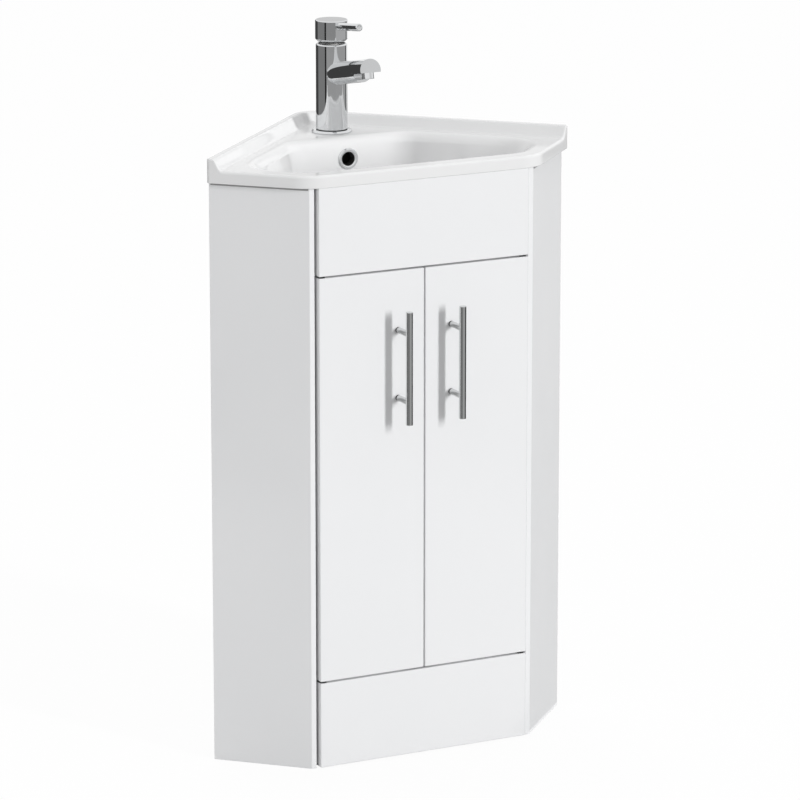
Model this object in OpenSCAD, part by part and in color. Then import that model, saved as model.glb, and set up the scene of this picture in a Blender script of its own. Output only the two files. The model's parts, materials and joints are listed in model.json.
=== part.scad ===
// Corner vanity unit: a five-sided cabinet with two doors, a basin with upstands,
// a lever tap, a push waste and a bottle trap. All sizes are in millimetres.
// The doors face -Y, +Z is up, X = 0 is the mirror plane and the floor is Z = 0.
// Plan sizes are written from the front edge of the side panels, at y = 0, and the
// whole unit is shifted at the end so that its frame sits in the middle of its box.

/* [Cabinet] */
// Length of the cabinet along each wall
wall_leg = 390; // [370:1:450]
// Width of each side panel, out from its wall
side_return = 145; // [130:1:165]
// Height of the cabinet, from the floor to the basin
cabinet_h = 826; // [790:1:880]
// Thickness of the carcass boards
board_t = 16; // [15:0.5:18]
// Width of the front edge that shows on each side panel
nose_w = 7.4; // [6.5:0.1:8.5]
// Thickness of the upright that carries each door
stile_t = 18; // [16:1:22]
// Depth of the upright that carries each door
stile_d = 60; // [50:1:70]
// Short side of the three-cornered block glued behind each upright
block_w = 24; // [16:1:34]
// Width of the square post in the room corner
post_w = 32; // [26:1:40]
// Height of the upper back rails
top_rail_h = 80; // [60:1:100]
// Height of the lower back rails
bottom_rail_h = 78; // [50:1:90]
// Height of the rail behind the foot of the fascia
front_rail_h = 36; // [30:1:42]
// Height of the inner shelf's lower face above the floor
shelf_z = 380; // [300:1:440]
// Clear space between the shelf and each wall
shelf_wall_gap = 30; // [20:1:40]
// Depth of the shelf at its middle, from the uprights' front
shelf_d = 238; // [200:1:260]

/* [Fronts] */
// Thickness of the doors, the fascia and the plinth
front_t = 16; // [15:0.5:19]
// Distance by which the fronts stand proud of the side panels
front_proud = 7; // [6:0.5:9]
// Slot between a side panel's front edge and the fronts
edge_gap = 3.4; // [3.2:0.1:4]
// Slot above and below the doors
front_gap = 2.4; // [2.2:0.1:3.2]
// Slot between the two doors
door_split = 2; // [1.8:0.1:3]
// Space behind the doors, in front of the uprights
recess_gap = 2.4; // [2.3:0.1:4]
// Height of the fixed fascia above the doors
fascia_h = 123; // [115:1:135]
// Height of the plinth under the doors
plinth_h = 122.4; // [110:0.1:135]
// Clearance between the plinth and the floor
floor_gap = 2; // [1:0.5:5]

/* [Door pivots] */
// Distance of the pivot from the door's outer edge
pivot_in = 6; // [5.6:0.1:6.2]
// Distance of the pivot behind the door's front face
pivot_back = 6; // [5.6:0.1:6.4]
// Radius of the pivot pin
pivot_r = 2.5; // [2:0.1:2.7]
// Depth to which the pivot pin enters the door
pivot_depth = 12; // [8:1:16]
// Thickness of the nylon bush's wall
bush_wall = 1.4; // [1:0.1:1.5]
// Width by which the bush's flange stands out
bush_flange_w = 1; // [0.5:0.1:1.3]
// Thickness of the steel of the pivot plates
plate_t = 2; // [1.5:0.1:2.2]
// Width of the pivot plates
plate_w = 10; // [9:0.5:10.5]
// Length of the pivot plate's leg on the upright
plate_leg = 40; // [30:1:50]

/* [Handles] */
// Length of the handle bar
bar_len = 160; // [120:1:220]
// Diameter of the handle bar
bar_d = 10; // [9:0.5:14]
// Diameter of the handle posts
post_d = 8.8; // [7.5:0.1:9.5]
// Diameter of the neck where a post meets the door
neck_d = 7.6; // [7:0.1:9]
// Length of that neck
neck_len = 3; // [1:0.5:6]
// Distance between the two posts
post_pitch = 96; // [64:32:128]
// Distance from the door's face to the middle of the bar
bar_reach = 34; // [26:1:40]
// Distance of the bar's middle below the door's top edge
handle_drop = 131.6; // [115:0.1:200]
// Distance of the bar from the door's inner edge
handle_inset = 40.4; // [25:0.1:60]
// Radius of the handle screws
screw_r = 1.9; // [1.5:0.1:2.2]
// Depth to which a handle screw enters its post
screw_depth = 10; // [6:1:16]

/* [Basin] */
// Thickness of the basin's rim
slab_t = 18; // [15:1:24]
// Overhang of the basin past the front edge of the side panels
front_over = 10; // [8:1:16]
// Overhang of the basin past the side panels
side_over = 9; // [5:1:14]
// Height of the upstands above the rim
upstand_h = 16; // [12:1:24]
// Width of the upstands at their top
upstand_w = 11; // [8:1:14]
// Width of the upstands where they meet the rim
upstand_foot = 22; // [19:1:28]
// Depth of the bowl below the rim
bowl_depth = 109; // [95:1:112]
// Thickness of the bowl's wall
bowl_wall = 9; // [7:0.5:10]
// Width of the rim in front of the bowl
rim_front = 32; // [28:1:40]
// Width of the rim beside the bowl
rim_side = 36; // [30:1:44]
// Width of the deck between the bowl and each wall
rim_wall = 44; // [40:1:52]
// Distance from the bowl's back wall to the tap's middle
tap_to_bowl = 51; // [49:1:60]
// Rounding of the bowl's floor
bowl_r = 34; // [24:1:40]
// Half the width of the bowl's level floor, towards the front
floor_half = 86; // [76:1:96]
// Distance of that level floor from the bowl's front
floor_in = 78; // [70:1:86]
// Chamfer around the mouth of the bowl
bowl_lip = 7; // [4:1:9]
// Depth of the overflow's middle below the rim
overflow_drop = 31; // [28:1:40]
// Outer diameter of the overflow ring
overflow_d = 31; // [28:1:34]
// Diameter of the overflow hole
overflow_hole = 20; // [16:1:22]
// Thickness of the air gap of the overflow duct
duct_t = 8; // [6:0.5:9]
// Width of the overflow duct
duct_w = 34; // [28:1:40]
// Thickness of the duct's skin
duct_skin = 3; // [2:0.5:4]

/* [Waste and trap] */
// Diameter of the waste's flange
waste_flange_d = 64; // [60:1:68]
// Diameter of the waste's threaded tail
waste_tail_d = 41; // [38:0.5:42]
// Wall of the waste's tail
waste_wall = 3; // [2:0.5:4]
// Length of the tail under the basin
waste_len = 44; // [40:1:60]
// Diameter of the push plug's cap
plug_d = 48; // [42:1:52]
// Height to which the plug rises when it opens
plug_lift = 8; // [6:0.5:10]
// Diameter of the trap's bottle
trap_d = 64; // [56:1:76]
// Height of the trap's bottle
trap_h = 92; // [80:1:110]
// Diameter of the outlet pipe
outlet_d = 32; // [32:8:40]
// Distance from the trap's middle to the end of the outlet pipe
outlet_len = 150; // [120:1:170]

/* [Tap] */
// Distance from the room corner to the tap's middle
tap_back = 99; // [92:1:112]
// Diameter of the tap's column
column_d = 45; // [44:0.5:48]
// Height of the column above its base ring
column_h = 123; // [118:1:140]
// Diameter of the base ring
ring_d = 57.6; // [52:0.1:62]
// Thickness of the base ring
ring_t = 4; // [3:0.5:6]
// Diameter of the turning head
head_d = 46.6; // [45:0.1:50]
// Height of the turning head
head_h = 32; // [30:1:36]
// Chamfer at the foot of the head
head_chamfer = 5; // [4.5:0.1:6]
// Slot between the column and the head
head_gap = 2; // [1.8:0.1:3]
// Distance from the column's top down to the spout's axis, at the column's middle
spout_drop = 44; // [42:1:47]
// Rise of the spout, in degrees
spout_rise = 11; // [8:0.5:13]
// Distance from the column's middle to the spout's end
spout_reach = 122; // [105:1:140]
// Diameter of the spout
spout_d = 32; // [30:0.5:33]
// Length of the flat under the spout's end
spout_flat = 27; // [25:1:32]
// Diameter of the nozzle
nozzle_d = 17.6; // [16:0.1:20]
// Height of the nozzle that shows
nozzle_h = 9; // [7:0.5:12]
// Diameter of the lever
lever_d = 10.8; // [9:0.1:12]
// Length of the lever outside the head
lever_len = 65; // [50:1:80]
// Rise of the lever at rest, in degrees
lever_rise = 7; // [4:0.5:10]
// Diameter of the hole in the deck
tap_hole = 35; // [34:0.5:36]

/* [Hidden] */
$fn = 64;

root2 = sqrt(2);
fit = 0.05; // radial clearance of a running or pushed fit
touch = 0.2; // clearance where a moving piece lies against its seat
eps = 0.01;
big = 1000;

// plan of the cabinet, from the front edge of the side panels
front_half = (wall_leg - side_return) / root2; // x of the cabinet's front corners
unit_d = (wall_leg + side_return) / root2; // distance to the room corner
front_x = front_half - nose_w - edge_gap; // outer edge of the fronts
face_y = -front_proud;
back_y = face_y + front_t;
frame_y = back_y + recess_gap; // front of the uprights
stile_out = front_half - board_t * root2 + frame_y;
stile_in = stile_out - stile_t;
stile_y1 = frame_y + stile_d;
stile_z1 = cabinet_h - fascia_h * 0.5; // the uprights stop under the bowl
panel_u = wall_leg - board_t; // inner face of a side panel, along its wall
handle_reach = front_proud + bar_reach + bar_d / 2;
mid_y = (unit_d - handle_reach) / 2; // the frame's place in the box

// heights
plinth_z1 = floor_gap + plinth_h;
base_z0 = plinth_z1 - board_t;
door_z0 = plinth_z1 + front_gap;
fascia_z0 = cabinet_h - fascia_h;
door_z1 = fascia_z0 - front_gap;
handle_z = door_z1 - handle_drop;
handle_x = door_split / 2 + handle_inset;
pivot_x = front_x - pivot_in;
pivot_y = face_y + pivot_back;
deck_z = cabinet_h + slab_t;
floor_z = deck_z - bowl_depth;

// rails and their dowels
dowel_r = 4;
dowel_len = 28;
dowel_in_panel = 10;
dowel_z = [for (z = [0.25, 0.75]) cabinet_h - top_rail_h * z, for (z = [0.25, 0.75]) base_z0 - bottom_rail_h * z];
wall_hole_r = 3;
wall_hole_u = [post_w + 46, panel_u - 50];
wall_hole_z = cabinet_h - top_rail_h / 2;

// shelf pins
pin_r = 2.5;
pin_out = 9;
pin_in = 8;
pin_front_y = frame_y + stile_d / 2;
pin_back_v = shelf_wall_gap + 14;

// small steel angles: leg length, width and thickness
angle_leg = 14;
angle_w = 28;
angle_t = 2;
angle_h = stile_z1 - fascia_z0 - front_rail_h; // those above the front rail
angle_from_post = 80; // distance of the basin's brackets from the corner post

// screws through the front rail into the fascia
rail_screw_x = stile_in * 0.55;
rail_screw_grip = 10;

// catch and stop in the middle of the opening
catch_w = 46;
catch_h = 14;
catch_d = 18;
strike_w = 18;
strike_h = 12;
strike_t = 1;
stop_w = 44;
stop_h = 24;
stop_d = 12;
bumper_r = 4;
bumper_t = 2;

// bowl
tap_y = unit_d - tap_back;
bowl_y0 = rim_front - front_over;
bowl_y1 = tap_y - tap_to_bowl;
waste_y = bowl_y0 + (bowl_y1 - bowl_y0) * 0.54;
tray_r = 31; // rounding of the corner between the upstands
bowl_corner_r = 45;
bowl_end_r = 56;
back_inset = 28; // by which the level floor is narrower at its back, on each side
floor_front = [floor_half, bowl_y0 + floor_in];
floor_back = [floor_half - back_inset, bowl_y1 - bowl_r];
overflow_z = deck_z - overflow_drop;
outline_steps = 10;
ball_rings = 20; // rings of a ball, which is widened so that its edges lie on the radius
duct_y0 = bowl_y1 + bowl_wall;
duct_y1 = duct_y0 + duct_t + 2 * duct_skin;
duct_foot = 20; // width of the duct's way through the boss
duct_gap = 6; // and its height
boss_d = waste_flange_d + 10;
boss_z0 = floor_z - bowl_wall - duct_gap - 2 * duct_skin;
duct_z0 = boss_z0 + duct_skin;

// waste
flange_t = 3;
flange_sink = 2;
tail_r = waste_tail_d / 2;
seal_t = 1.5;
flange_z0 = floor_z - flange_sink;
tail_z0 = boss_z0 - waste_len;
nut_h = 10;
nut_d = 58;
stem_r = 4;
spider_z = boss_z0 - 6;
spider_h = 5;
plug_seat_z = flange_z0 + flange_t;
plug_t = 4;

// trap
trap_y = waste_y;
trap_z1 = tail_z0 - 4;
trap_z0 = trap_z1 - trap_h;
trap_wall = 2.5;
trap_neck_r = tail_r + 1;
trap_nut_h = 20;
cup_h = 34;
cup_overlap = 12;
outlet_z = trap_z1 - 26;
outlet_r = outlet_d / 2;
socket_len = 22;

// tap
ring_z1 = deck_z + ring_t;
column_r = column_d / 2;
column_z1 = ring_z1 + column_h;
head_z0 = column_z1 + head_gap;
head_z1 = head_z0 + head_h;
head_r = head_d / 2;
tilt_z = head_z0 + 16;
tilt_max = 18;
lever_z = head_z1 - 10;
lever_r = lever_d / 2;
cart_r = 15;
cart_z0 = column_z1 - 26;
cart_z1 = column_z1 - 12;
mouth_r = column_r - 3;
mouth_depth = 15;
turret_r = 8;
turret_in = 9;
tongue_half = 4.9; // half the thickness of the turret's tongue
ear_in = 5; // inner face of the head's two ears
tilt_pin_r = 2;
ear_t = 3.4;
spout_r = spout_d / 2;
spout_z = column_h - spout_drop;
spigot_r = 10.5;
spigot_in = 9;
spout_bore = 7.5;
spout_len = spout_reach / cos(spout_rise);
flat_drop = 3.4;
cove_r = 8;
nozzle_back = 10;
port_r = 4.6;
port_len = 12;
port_x = 9;
port_y = -5;
stud_r = 4;
stud_y = 11;
stud_in = 14;
washer_d = 50;
washer_t = 3;
clamp_slot = 2 * (port_x + port_r) + 2; // the clamp's gap, wide enough for both hoses
stud_below = 30;

// a point given along the left wall (u) and out from it (v), in plan
function wall_pt(u, v) = [-(u - v) / root2, unit_d - (u + v) / root2];
function mirrored(pts) = [for (i = [len(pts) - 1:-1:0]) [-pts[i][0], pts[i][1]]];
function unit2(v) = v / norm(v);
function fillet_pts(a, b, c, r) =
    let (u = unit2(a - b), w = unit2(c - b), half = acos(u * w) / 2, m = b + unit2(u + w) * r / sin(half),
        p = b + u * r / tan(half) - m, q = b + w * r / tan(half) - m,
        a0 = atan2(p[1], p[0]), turn = atan2(q[1], q[0]) - a0,
        sweep = turn > 180 ? turn - 360 : turn < -180 ? turn + 360 : turn)
    [for (i = [0:outline_steps]) m + r * [cos(a0 + sweep * i / outline_steps), sin(a0 + sweep * i / outline_steps)]];
function rounded(pts, radii) =
    let (n = len(pts))
    [for (i = [0:n - 1]) each fillet_pts(pts[(i + n - 1) % n], pts[i], pts[(i + 1) % n], radii[i])];

// outlines of the basin, of the bowl and of the tray between the upstands
side_line = front_half + side_over * root2;
function basin_outline() =
    let (half = side_line - front_over, tip = [(unit_d + side_line) / 2, (unit_d - side_line) / 2])
    rounded([[-half, -front_over], [half, -front_over], tip, [0, unit_d], [-tip[0], tip[1]]], [45, 45, 4, 35, 4]);
function bowl_outline(grow) =
    let (s = side_line - (rim_side - grow) * root2, w = unit_d - (rim_wall - grow) * root2,
        y0 = bowl_y0 - grow, y1 = bowl_y1 + grow, right = [[s + y0, y0], [(s + w) / 2, (w - s) / 2], [w - y1, y1]],
        a = bowl_corner_r + grow, b = bowl_end_r + grow)
    rounded(concat(right, mirrored(right)), [a, b, a, a, b, a]);
function tray_outline(inset) =
    let (w = unit_d - inset * root2)
    rounded([[0, w], [-w - 2 * side_line, -2 * side_line], [w + 2 * side_line, -2 * side_line]], [tray_r, 1, 1]);

// carcass
module mirror_x() { children(); mirror([1, 0, 0]) children(); }
module on_left_wall() translate([0, unit_d, 0]) rotate([0, 0, 225]) children();
module wall_box(u0, u1, v0, v1, z0, z1) on_left_wall() translate([u0, v0, z0]) cube([u1 - u0, v1 - v0, z1 - z0]);
module box(x0, x1, y0, y1, z0, z1) translate([x0, y0, z0]) cube([x1 - x0, y1 - y0, z1 - z0]);
module plate(pts, z0, z1) translate([0, 0, z0]) linear_extrude(z1 - z0) polygon(pts);
module along_y(x, y0, y1, z, r) translate([x, y0, z]) rotate([-90, 0, 0]) cylinder(h = y1 - y0, r = r);
module upright(x, y, z0, z1, r) translate([x, y, z0]) cylinder(h = z1 - z0, r = r);

module dowels(r, u0, u1) for (z = dowel_z)
    on_left_wall() translate([u0, board_t / 2, z]) rotate([0, 90, 0]) cylinder(h = u1 - u0, r = r);
module wall_holes() for (u = wall_hole_u)
    on_left_wall() translate([u, -1, wall_hole_z]) rotate([-90, 0, 0]) cylinder(h = board_t + 2, r = wall_hole_r);
module back_pin(r, out) on_left_wall()
    translate([panel_u - out, pin_back_v, shelf_z - pin_r]) rotate([0, 90, 0]) cylinder(h = out + pin_in, r = r);
module front_pin(r, out) translate([-stile_in - pin_in, pin_front_y, shelf_z - pin_r])
    rotate([0, 90, 0]) cylinder(h = out + pin_in, r = r);

module side_panel() color("white") difference() {
    wall_box(panel_u, wall_leg, 0, side_return + board_t, 0, cabinet_h);
    box(-big, big, -big, 0, -1, cabinet_h + 1);
    box(-front_half + nose_w, 0, -1, frame_y, -1, cabinet_h + 1);
    dowels(dowel_r + fit, panel_u - 1, panel_u + dowel_in_panel);
    back_pin(pin_r + fit, 1);
}
module stile() color("whitesmoke") difference() {
    box(-stile_out, -stile_in, frame_y, stile_y1, 0, stile_z1);
    front_pin(pin_r + fit, 1);
}
module corner_block() plate([[-stile_out, frame_y], [-stile_out - block_w, frame_y + block_w],
    [-stile_out, frame_y + block_w]], 0, stile_z1);
module top_rail() color("whitesmoke") difference() {
    wall_box(post_w, panel_u, 0, board_t, cabinet_h - top_rail_h, cabinet_h);
    dowels(dowel_r + fit, panel_u + dowel_in_panel - dowel_len, panel_u + 1);
    wall_holes();
}
module bottom_rail() difference() {
    wall_box(post_w, panel_u, 0, board_t, base_z0 - bottom_rail_h, base_z0);
    dowels(dowel_r + fit, panel_u + dowel_in_panel - dowel_len, panel_u + 1);
}
module left_side_panel() side_panel();
module right_side_panel() mirror([1, 0, 0]) side_panel();
module left_stile() stile();
module right_stile() mirror([1, 0, 0]) stile();
module corner_blocks() color("burlywood") mirror_x() corner_block();
module left_top_rail() top_rail();
module right_top_rail() mirror([1, 0, 0]) top_rail();
module bottom_rails() color("whitesmoke") mirror_x() bottom_rail();
module corner_post() color("whitesmoke") wall_box(0, post_w, 0, post_w, 0, cabinet_h);
module rail_dowels() color("burlywood") mirror_x()
    dowels(dowel_r, panel_u + dowel_in_panel - dowel_len + touch, panel_u + dowel_in_panel - touch);

module base_panel() color("whitesmoke") {
    half = [[-stile_in, back_y], [-stile_in, stile_y1], [-front_half + board_t * root2 - stile_y1, stile_y1],
        wall_pt(panel_u, 0), wall_pt(post_w, 0), wall_pt(post_w, post_w)];
    plate(concat(half, mirrored([for (i = [0:4]) half[i]])), base_z0, plinth_z1);
}
module shelf() color("whitesmoke") {
    s = 1.2; // slack around the shelf
    back = frame_y + shelf_d;
    u_back = (unit_d - back) * root2 - shelf_wall_gap;
    half = [[-stile_in + s, frame_y + s], [-stile_in + s, stile_y1 + s],
        [-front_half + board_t * root2 - stile_y1 + s, stile_y1 + s],
        wall_pt(panel_u - s, shelf_wall_gap), wall_pt(u_back, shelf_wall_gap)];
    plate(concat(half, mirrored(half)), shelf_z, shelf_z + board_t);
}
module shelf_pins() color("silver") mirror_x() { front_pin(pin_r, pin_out - 3); back_pin(pin_r, pin_out); }

// the steel angles, each in the inner corner of two boards
module angle_iron(w) {
    cube([angle_leg, angle_t, w]);
    cube([angle_t, angle_leg, w]);
}
module angle_brackets() color("silver") mirror_x() {
    for (z = [stile_z1 - angle_h, base_z0 - angle_w - 20])
        translate([-stile_in, back_y, z]) angle_iron(z > base_z0 ? angle_h : angle_w);
    on_left_wall() translate([panel_u, board_t + 30, base_z0]) rotate([-90, 90, 0]) angle_iron(angle_w);
    on_left_wall() translate([post_w + angle_from_post, board_t, cabinet_h]) rotate([0, 90, 0]) angle_iron(angle_w);
}

// fronts
module pivot_mortise(z0, z1) mirror_x()
    box(-pivot_x - plate_w / 2 - fit, -pivot_x + plate_w / 2 + fit, face_y + 1, back_y + 1, z0, z1);
module plinth_panel() color("white") difference() {
    box(-front_x, front_x, face_y, back_y, floor_gap, plinth_z1);
    pivot_mortise(plinth_z1 - plate_t, plinth_z1 + 1);
}
module fascia_panel() color("white") difference() {
    box(-front_x, front_x, face_y, back_y, fascia_z0, cabinet_h);
    pivot_mortise(fascia_z0 - 1, fascia_z0 + plate_t);
    rail_screws(screw_r + fit, rail_screw_grip + touch, 0);
}
module rail_screws(r, grip, head) mirror_x() {
    along_y(rail_screw_x, back_y - grip, back_y + board_t + head, fascia_z0 + front_rail_h / 2, r);
    if (head > 0) along_y(rail_screw_x, back_y + board_t, back_y + board_t + head, fascia_z0 + front_rail_h / 2, 2 * r);
}
module front_rail() color("whitesmoke") difference() {
    box(-stile_in, stile_in, back_y, back_y + board_t, fascia_z0, fascia_z0 + front_rail_h);
    rail_screws(screw_r + fit, 1, 0);
    translate([0, board_t - 1, 0]) rail_screws(screw_r + fit, 1, 0);
}
module fascia_screws() color("silver") rail_screws(screw_r, rail_screw_grip, 2);
module magnetic_catch() color("gainsboro")
    box(-catch_w / 2, catch_w / 2, back_y + strike_t + touch, back_y + strike_t + touch + catch_d,
        fascia_z0 - catch_h, fascia_z0);
module door_stop() color("gainsboro")
    box(-stop_w / 2, stop_w / 2, back_y + bumper_t + touch, back_y + bumper_t + touch + stop_d,
        plinth_z1, plinth_z1 + stop_h);
module door_bumpers() color("lightgray") mirror_x()
    along_y(stop_w / 2 - 8, back_y + touch, back_y + touch + bumper_t, plinth_z1 + stop_h - 7, bumper_r);

// door pivots: a plate with its pin, screwed to the upright, above and below each door
module pivot_plate() {
    box(-pivot_x - plate_w / 2, -pivot_x + plate_w / 2, face_y + 2, frame_y, 0, plate_t);
    box(-pivot_x - plate_w / 2, -pivot_x + plate_w / 2, frame_y - plate_t, frame_y, 0, plate_leg);
    upright(-pivot_x, pivot_y, -front_gap - pivot_depth, eps, pivot_r);
}
module pivots() color("silver") {
    translate([0, 0, fascia_z0]) pivot_plate();
    translate([0, 0, plinth_z1]) mirror([0, 0, 1]) pivot_plate();
}
module left_pivots() pivots();
module right_pivots() mirror([1, 0, 0]) pivots();

bush_r = pivot_r + fit + bush_wall;
bush_len = pivot_depth + 1;
module bush_pair(r, flange, d) for (end = [[door_z1, 0], [door_z0, 1]])
    translate([-pivot_x, pivot_y, end[0]]) mirror([0, 0, end[1]]) {
        translate([0, 0, -d]) cylinder(h = d, r = r);
        if (flange > 0) translate([0, 0, -1]) cylinder(h = flange + 1, r = r);
        if (flange > 0) cylinder(h = flange, r = r + bush_flange_w);
    }
module door_panel() color("white") difference() {
    box(-front_x, -door_split / 2, face_y, back_y, door_z0, door_z1);
    bush_pair(bush_r + fit, 0, bush_len + fit);
    for (dz = [-1, 1]) along_y(-handle_x, face_y - 1, back_y + 1, handle_z + dz * post_pitch / 2, screw_r + 0.2);
}
module door_bushes() color("ivory") difference() {
    bush_pair(bush_r, front_gap - 2 * fit, bush_len);
    translate([-pivot_x, pivot_y, door_z1 - pivot_depth - 0.5]) cylinder(h = big, r = pivot_r + fit);
    translate([-pivot_x, pivot_y, door_z0 + pivot_depth + 0.5 - big]) cylinder(h = big, r = pivot_r + fit);
}
module left_door() door_panel();
module right_door() mirror([1, 0, 0]) door_panel();
module left_door_bushes() door_bushes();
module right_door_bushes() mirror([1, 0, 0]) door_bushes();

// handles
module bar_shape(grow) upright(-handle_x, face_y - bar_reach, handle_z - bar_len / 2, handle_z + bar_len / 2,
    bar_d / 2 + grow);
module handle_bar() color("silver") bar_shape(0);
module handle_posts() color("silver") for (dz = [-1, 1]) difference() {
    union() {
        along_y(-handle_x, face_y - bar_reach, face_y - neck_len, handle_z + dz * post_pitch / 2, post_d / 2);
        along_y(-handle_x, face_y - neck_len - 1, face_y, handle_z + dz * post_pitch / 2, neck_d / 2);
    }
    bar_shape(eps);
    along_y(-handle_x, face_y - screw_depth - touch, face_y + 1, handle_z + dz * post_pitch / 2, screw_r + fit);
}
module handle_screws() color("silver") for (dz = [-1, 1]) {
    along_y(-handle_x, face_y - screw_depth, back_y + 1, handle_z + dz * post_pitch / 2, screw_r);
    along_y(-handle_x, back_y, back_y + 2, handle_z + dz * post_pitch / 2, 2.1 * screw_r);
}
module strike() color("silver") box(-catch_w / 2 + 2, -catch_w / 2 + 2 + strike_w, back_y, back_y + strike_t,
    door_z1 - strike_h - 0.8, door_z1 - 0.8);
module left_handle_bar() handle_bar();
module right_handle_bar() mirror([1, 0, 0]) handle_bar();
module left_handle_posts() handle_posts();
module right_handle_posts() mirror([1, 0, 0]) handle_posts();
module left_handle_screws() handle_screws();
module right_handle_screws() mirror([1, 0, 0]) handle_screws();
module left_strike() strike();
module right_strike() mirror([1, 0, 0]) strike();

// basin
module bowl_form(grow, top_z) hull() {
    plate(bowl_outline(grow), top_z - eps, top_z);
    for (s = [-1, 1], p = [floor_front, floor_back])
        translate([s * p[0], p[1], floor_z + bowl_r]) sphere(r = (bowl_r + grow) / cos(90 / ball_rings), $fn = 2 * ball_rings);
}
module basin() color("white") difference() {
    union() {
        plate(basin_outline(), cabinet_h, deck_z);
        difference() {
            plate(basin_outline(), deck_z - 1, deck_z + upstand_h);
            hull() {
                plate(tray_outline(upstand_foot), deck_z - eps, deck_z);
                plate(tray_outline(upstand_w + 6), deck_z + 5, deck_z + 5 + eps);
            }
            hull() {
                plate(tray_outline(upstand_w + 6), deck_z + 5, deck_z + 5 + eps);
                plate(tray_outline(upstand_w), deck_z + upstand_h, deck_z + upstand_h + eps);
            }
        }
        bowl_form(bowl_wall, cabinet_h + 1);
        upright(0, waste_y, boss_z0, floor_z, boss_d / 2);
    }
    bowl_form(0, deck_z - bowl_lip);
    hull() {
        plate(bowl_outline(0), deck_z - bowl_lip - eps, deck_z - bowl_lip);
        plate(bowl_outline(bowl_lip), deck_z, deck_z + eps);
    }
    upright(0, waste_y, flange_z0, floor_z + 1, waste_flange_d / 2 + 0.5);
    upright(0, waste_y, boss_z0 - 1, floor_z, tail_r + 0.5);
    along_y(0, bowl_y1 - 1, duct_y0 + 1, overflow_z, overflow_hole / 2 + 1);
    box(-duct_foot / 2, duct_foot / 2, waste_y, waste_y + boss_d, duct_z0, duct_z0 + duct_gap);
    upright(0, tap_y, cabinet_h - 1, deck_z + 1, tap_hole / 2);
}
module overflow_duct() color("white") difference() {
    union() {
        box(-duct_w / 2, duct_w / 2, duct_y0, duct_y1, boss_z0, cabinet_h - 1);
        box(-duct_w / 2, duct_w / 2, waste_y, duct_y1, boss_z0, floor_z - bowl_wall);
    }
    upright(0, waste_y, boss_z0 - 1, deck_z, boss_d / 2);
    box(-duct_w / 2 + duct_skin, duct_w / 2 - duct_skin, duct_y0 + duct_skin, duct_y1 - duct_skin, duct_z0, cabinet_h - 4);
    box(-duct_foot / 2, duct_foot / 2, waste_y, duct_y1 - duct_skin, duct_z0, duct_z0 + duct_gap);
    along_y(0, duct_y0 - 1, duct_y0 + duct_skin + 1, overflow_z, overflow_hole / 2 + 1);
}
module overflow_ring() color("silver") translate([0, bowl_y1, overflow_z]) rotate([90, 0, 0]) rotate_extrude()
    polygon([[overflow_hole / 2, -6], [overflow_hole / 2 + 1 - fit, -6], [overflow_hole / 2 + 1 - fit, 0],
        [overflow_d / 2, 0], [overflow_d / 2, 0.8], [overflow_d / 2 - 1.6, 2.4], [overflow_hole / 2 + 1.6, 2.4],
        [overflow_hole / 2, 1.4]]);

// waste
module waste_body() color("silver") difference() {
    union() {
        translate([0, waste_y, flange_z0 + seal_t]) cylinder(h = flange_t - seal_t, r = waste_flange_d / 2);
        upright(0, waste_y, tail_z0, flange_z0 + seal_t + 1, tail_r);
    }
    difference() {
        upright(0, waste_y, tail_z0 - 1, plug_seat_z + 1, tail_r - waste_wall);
        upright(0, waste_y, spider_z, spider_z + spider_h, stem_r + 4);
        box(-big, big, waste_y - 2, waste_y + 2, spider_z, spider_z + spider_h);
    }
    upright(0, waste_y, tail_z0 - 1, plug_seat_z + 1, stem_r + fit);
    box(-duct_foot / 2 + 2, duct_foot / 2 - 2, waste_y, waste_y + tail_r + 1, duct_z0, duct_z0 + duct_gap);
}
module waste_seal() color("dimgray") difference() {
    upright(0, waste_y, flange_z0, flange_z0 + seal_t, waste_flange_d / 2);
    upright(0, waste_y, flange_z0 - 1, flange_z0 + seal_t + 1, tail_r + fit);
}
module waste_backnut() color("gold") difference() {
    translate([0, waste_y, boss_z0 - nut_h]) cylinder(h = nut_h, r = nut_d / 2, $fn = 6);
    upright(0, waste_y, boss_z0 - nut_h - 1, boss_z0 + 1, tail_r + fit);
}
module waste_plug() color("silver") translate([0, waste_y, plug_seat_z]) {
    rotate_extrude() polygon([[0, 0], [plug_d / 2, 0], [plug_d / 2, plug_t - 1.5], [plug_d / 2 - 4, plug_t],
        [0, plug_t + 1]]);
    translate([0, 0, spider_z - plug_seat_z - plug_lift - 2]) cylinder(h = plug_seat_z - spider_z + plug_lift + 3, r = stem_r);
}

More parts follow.
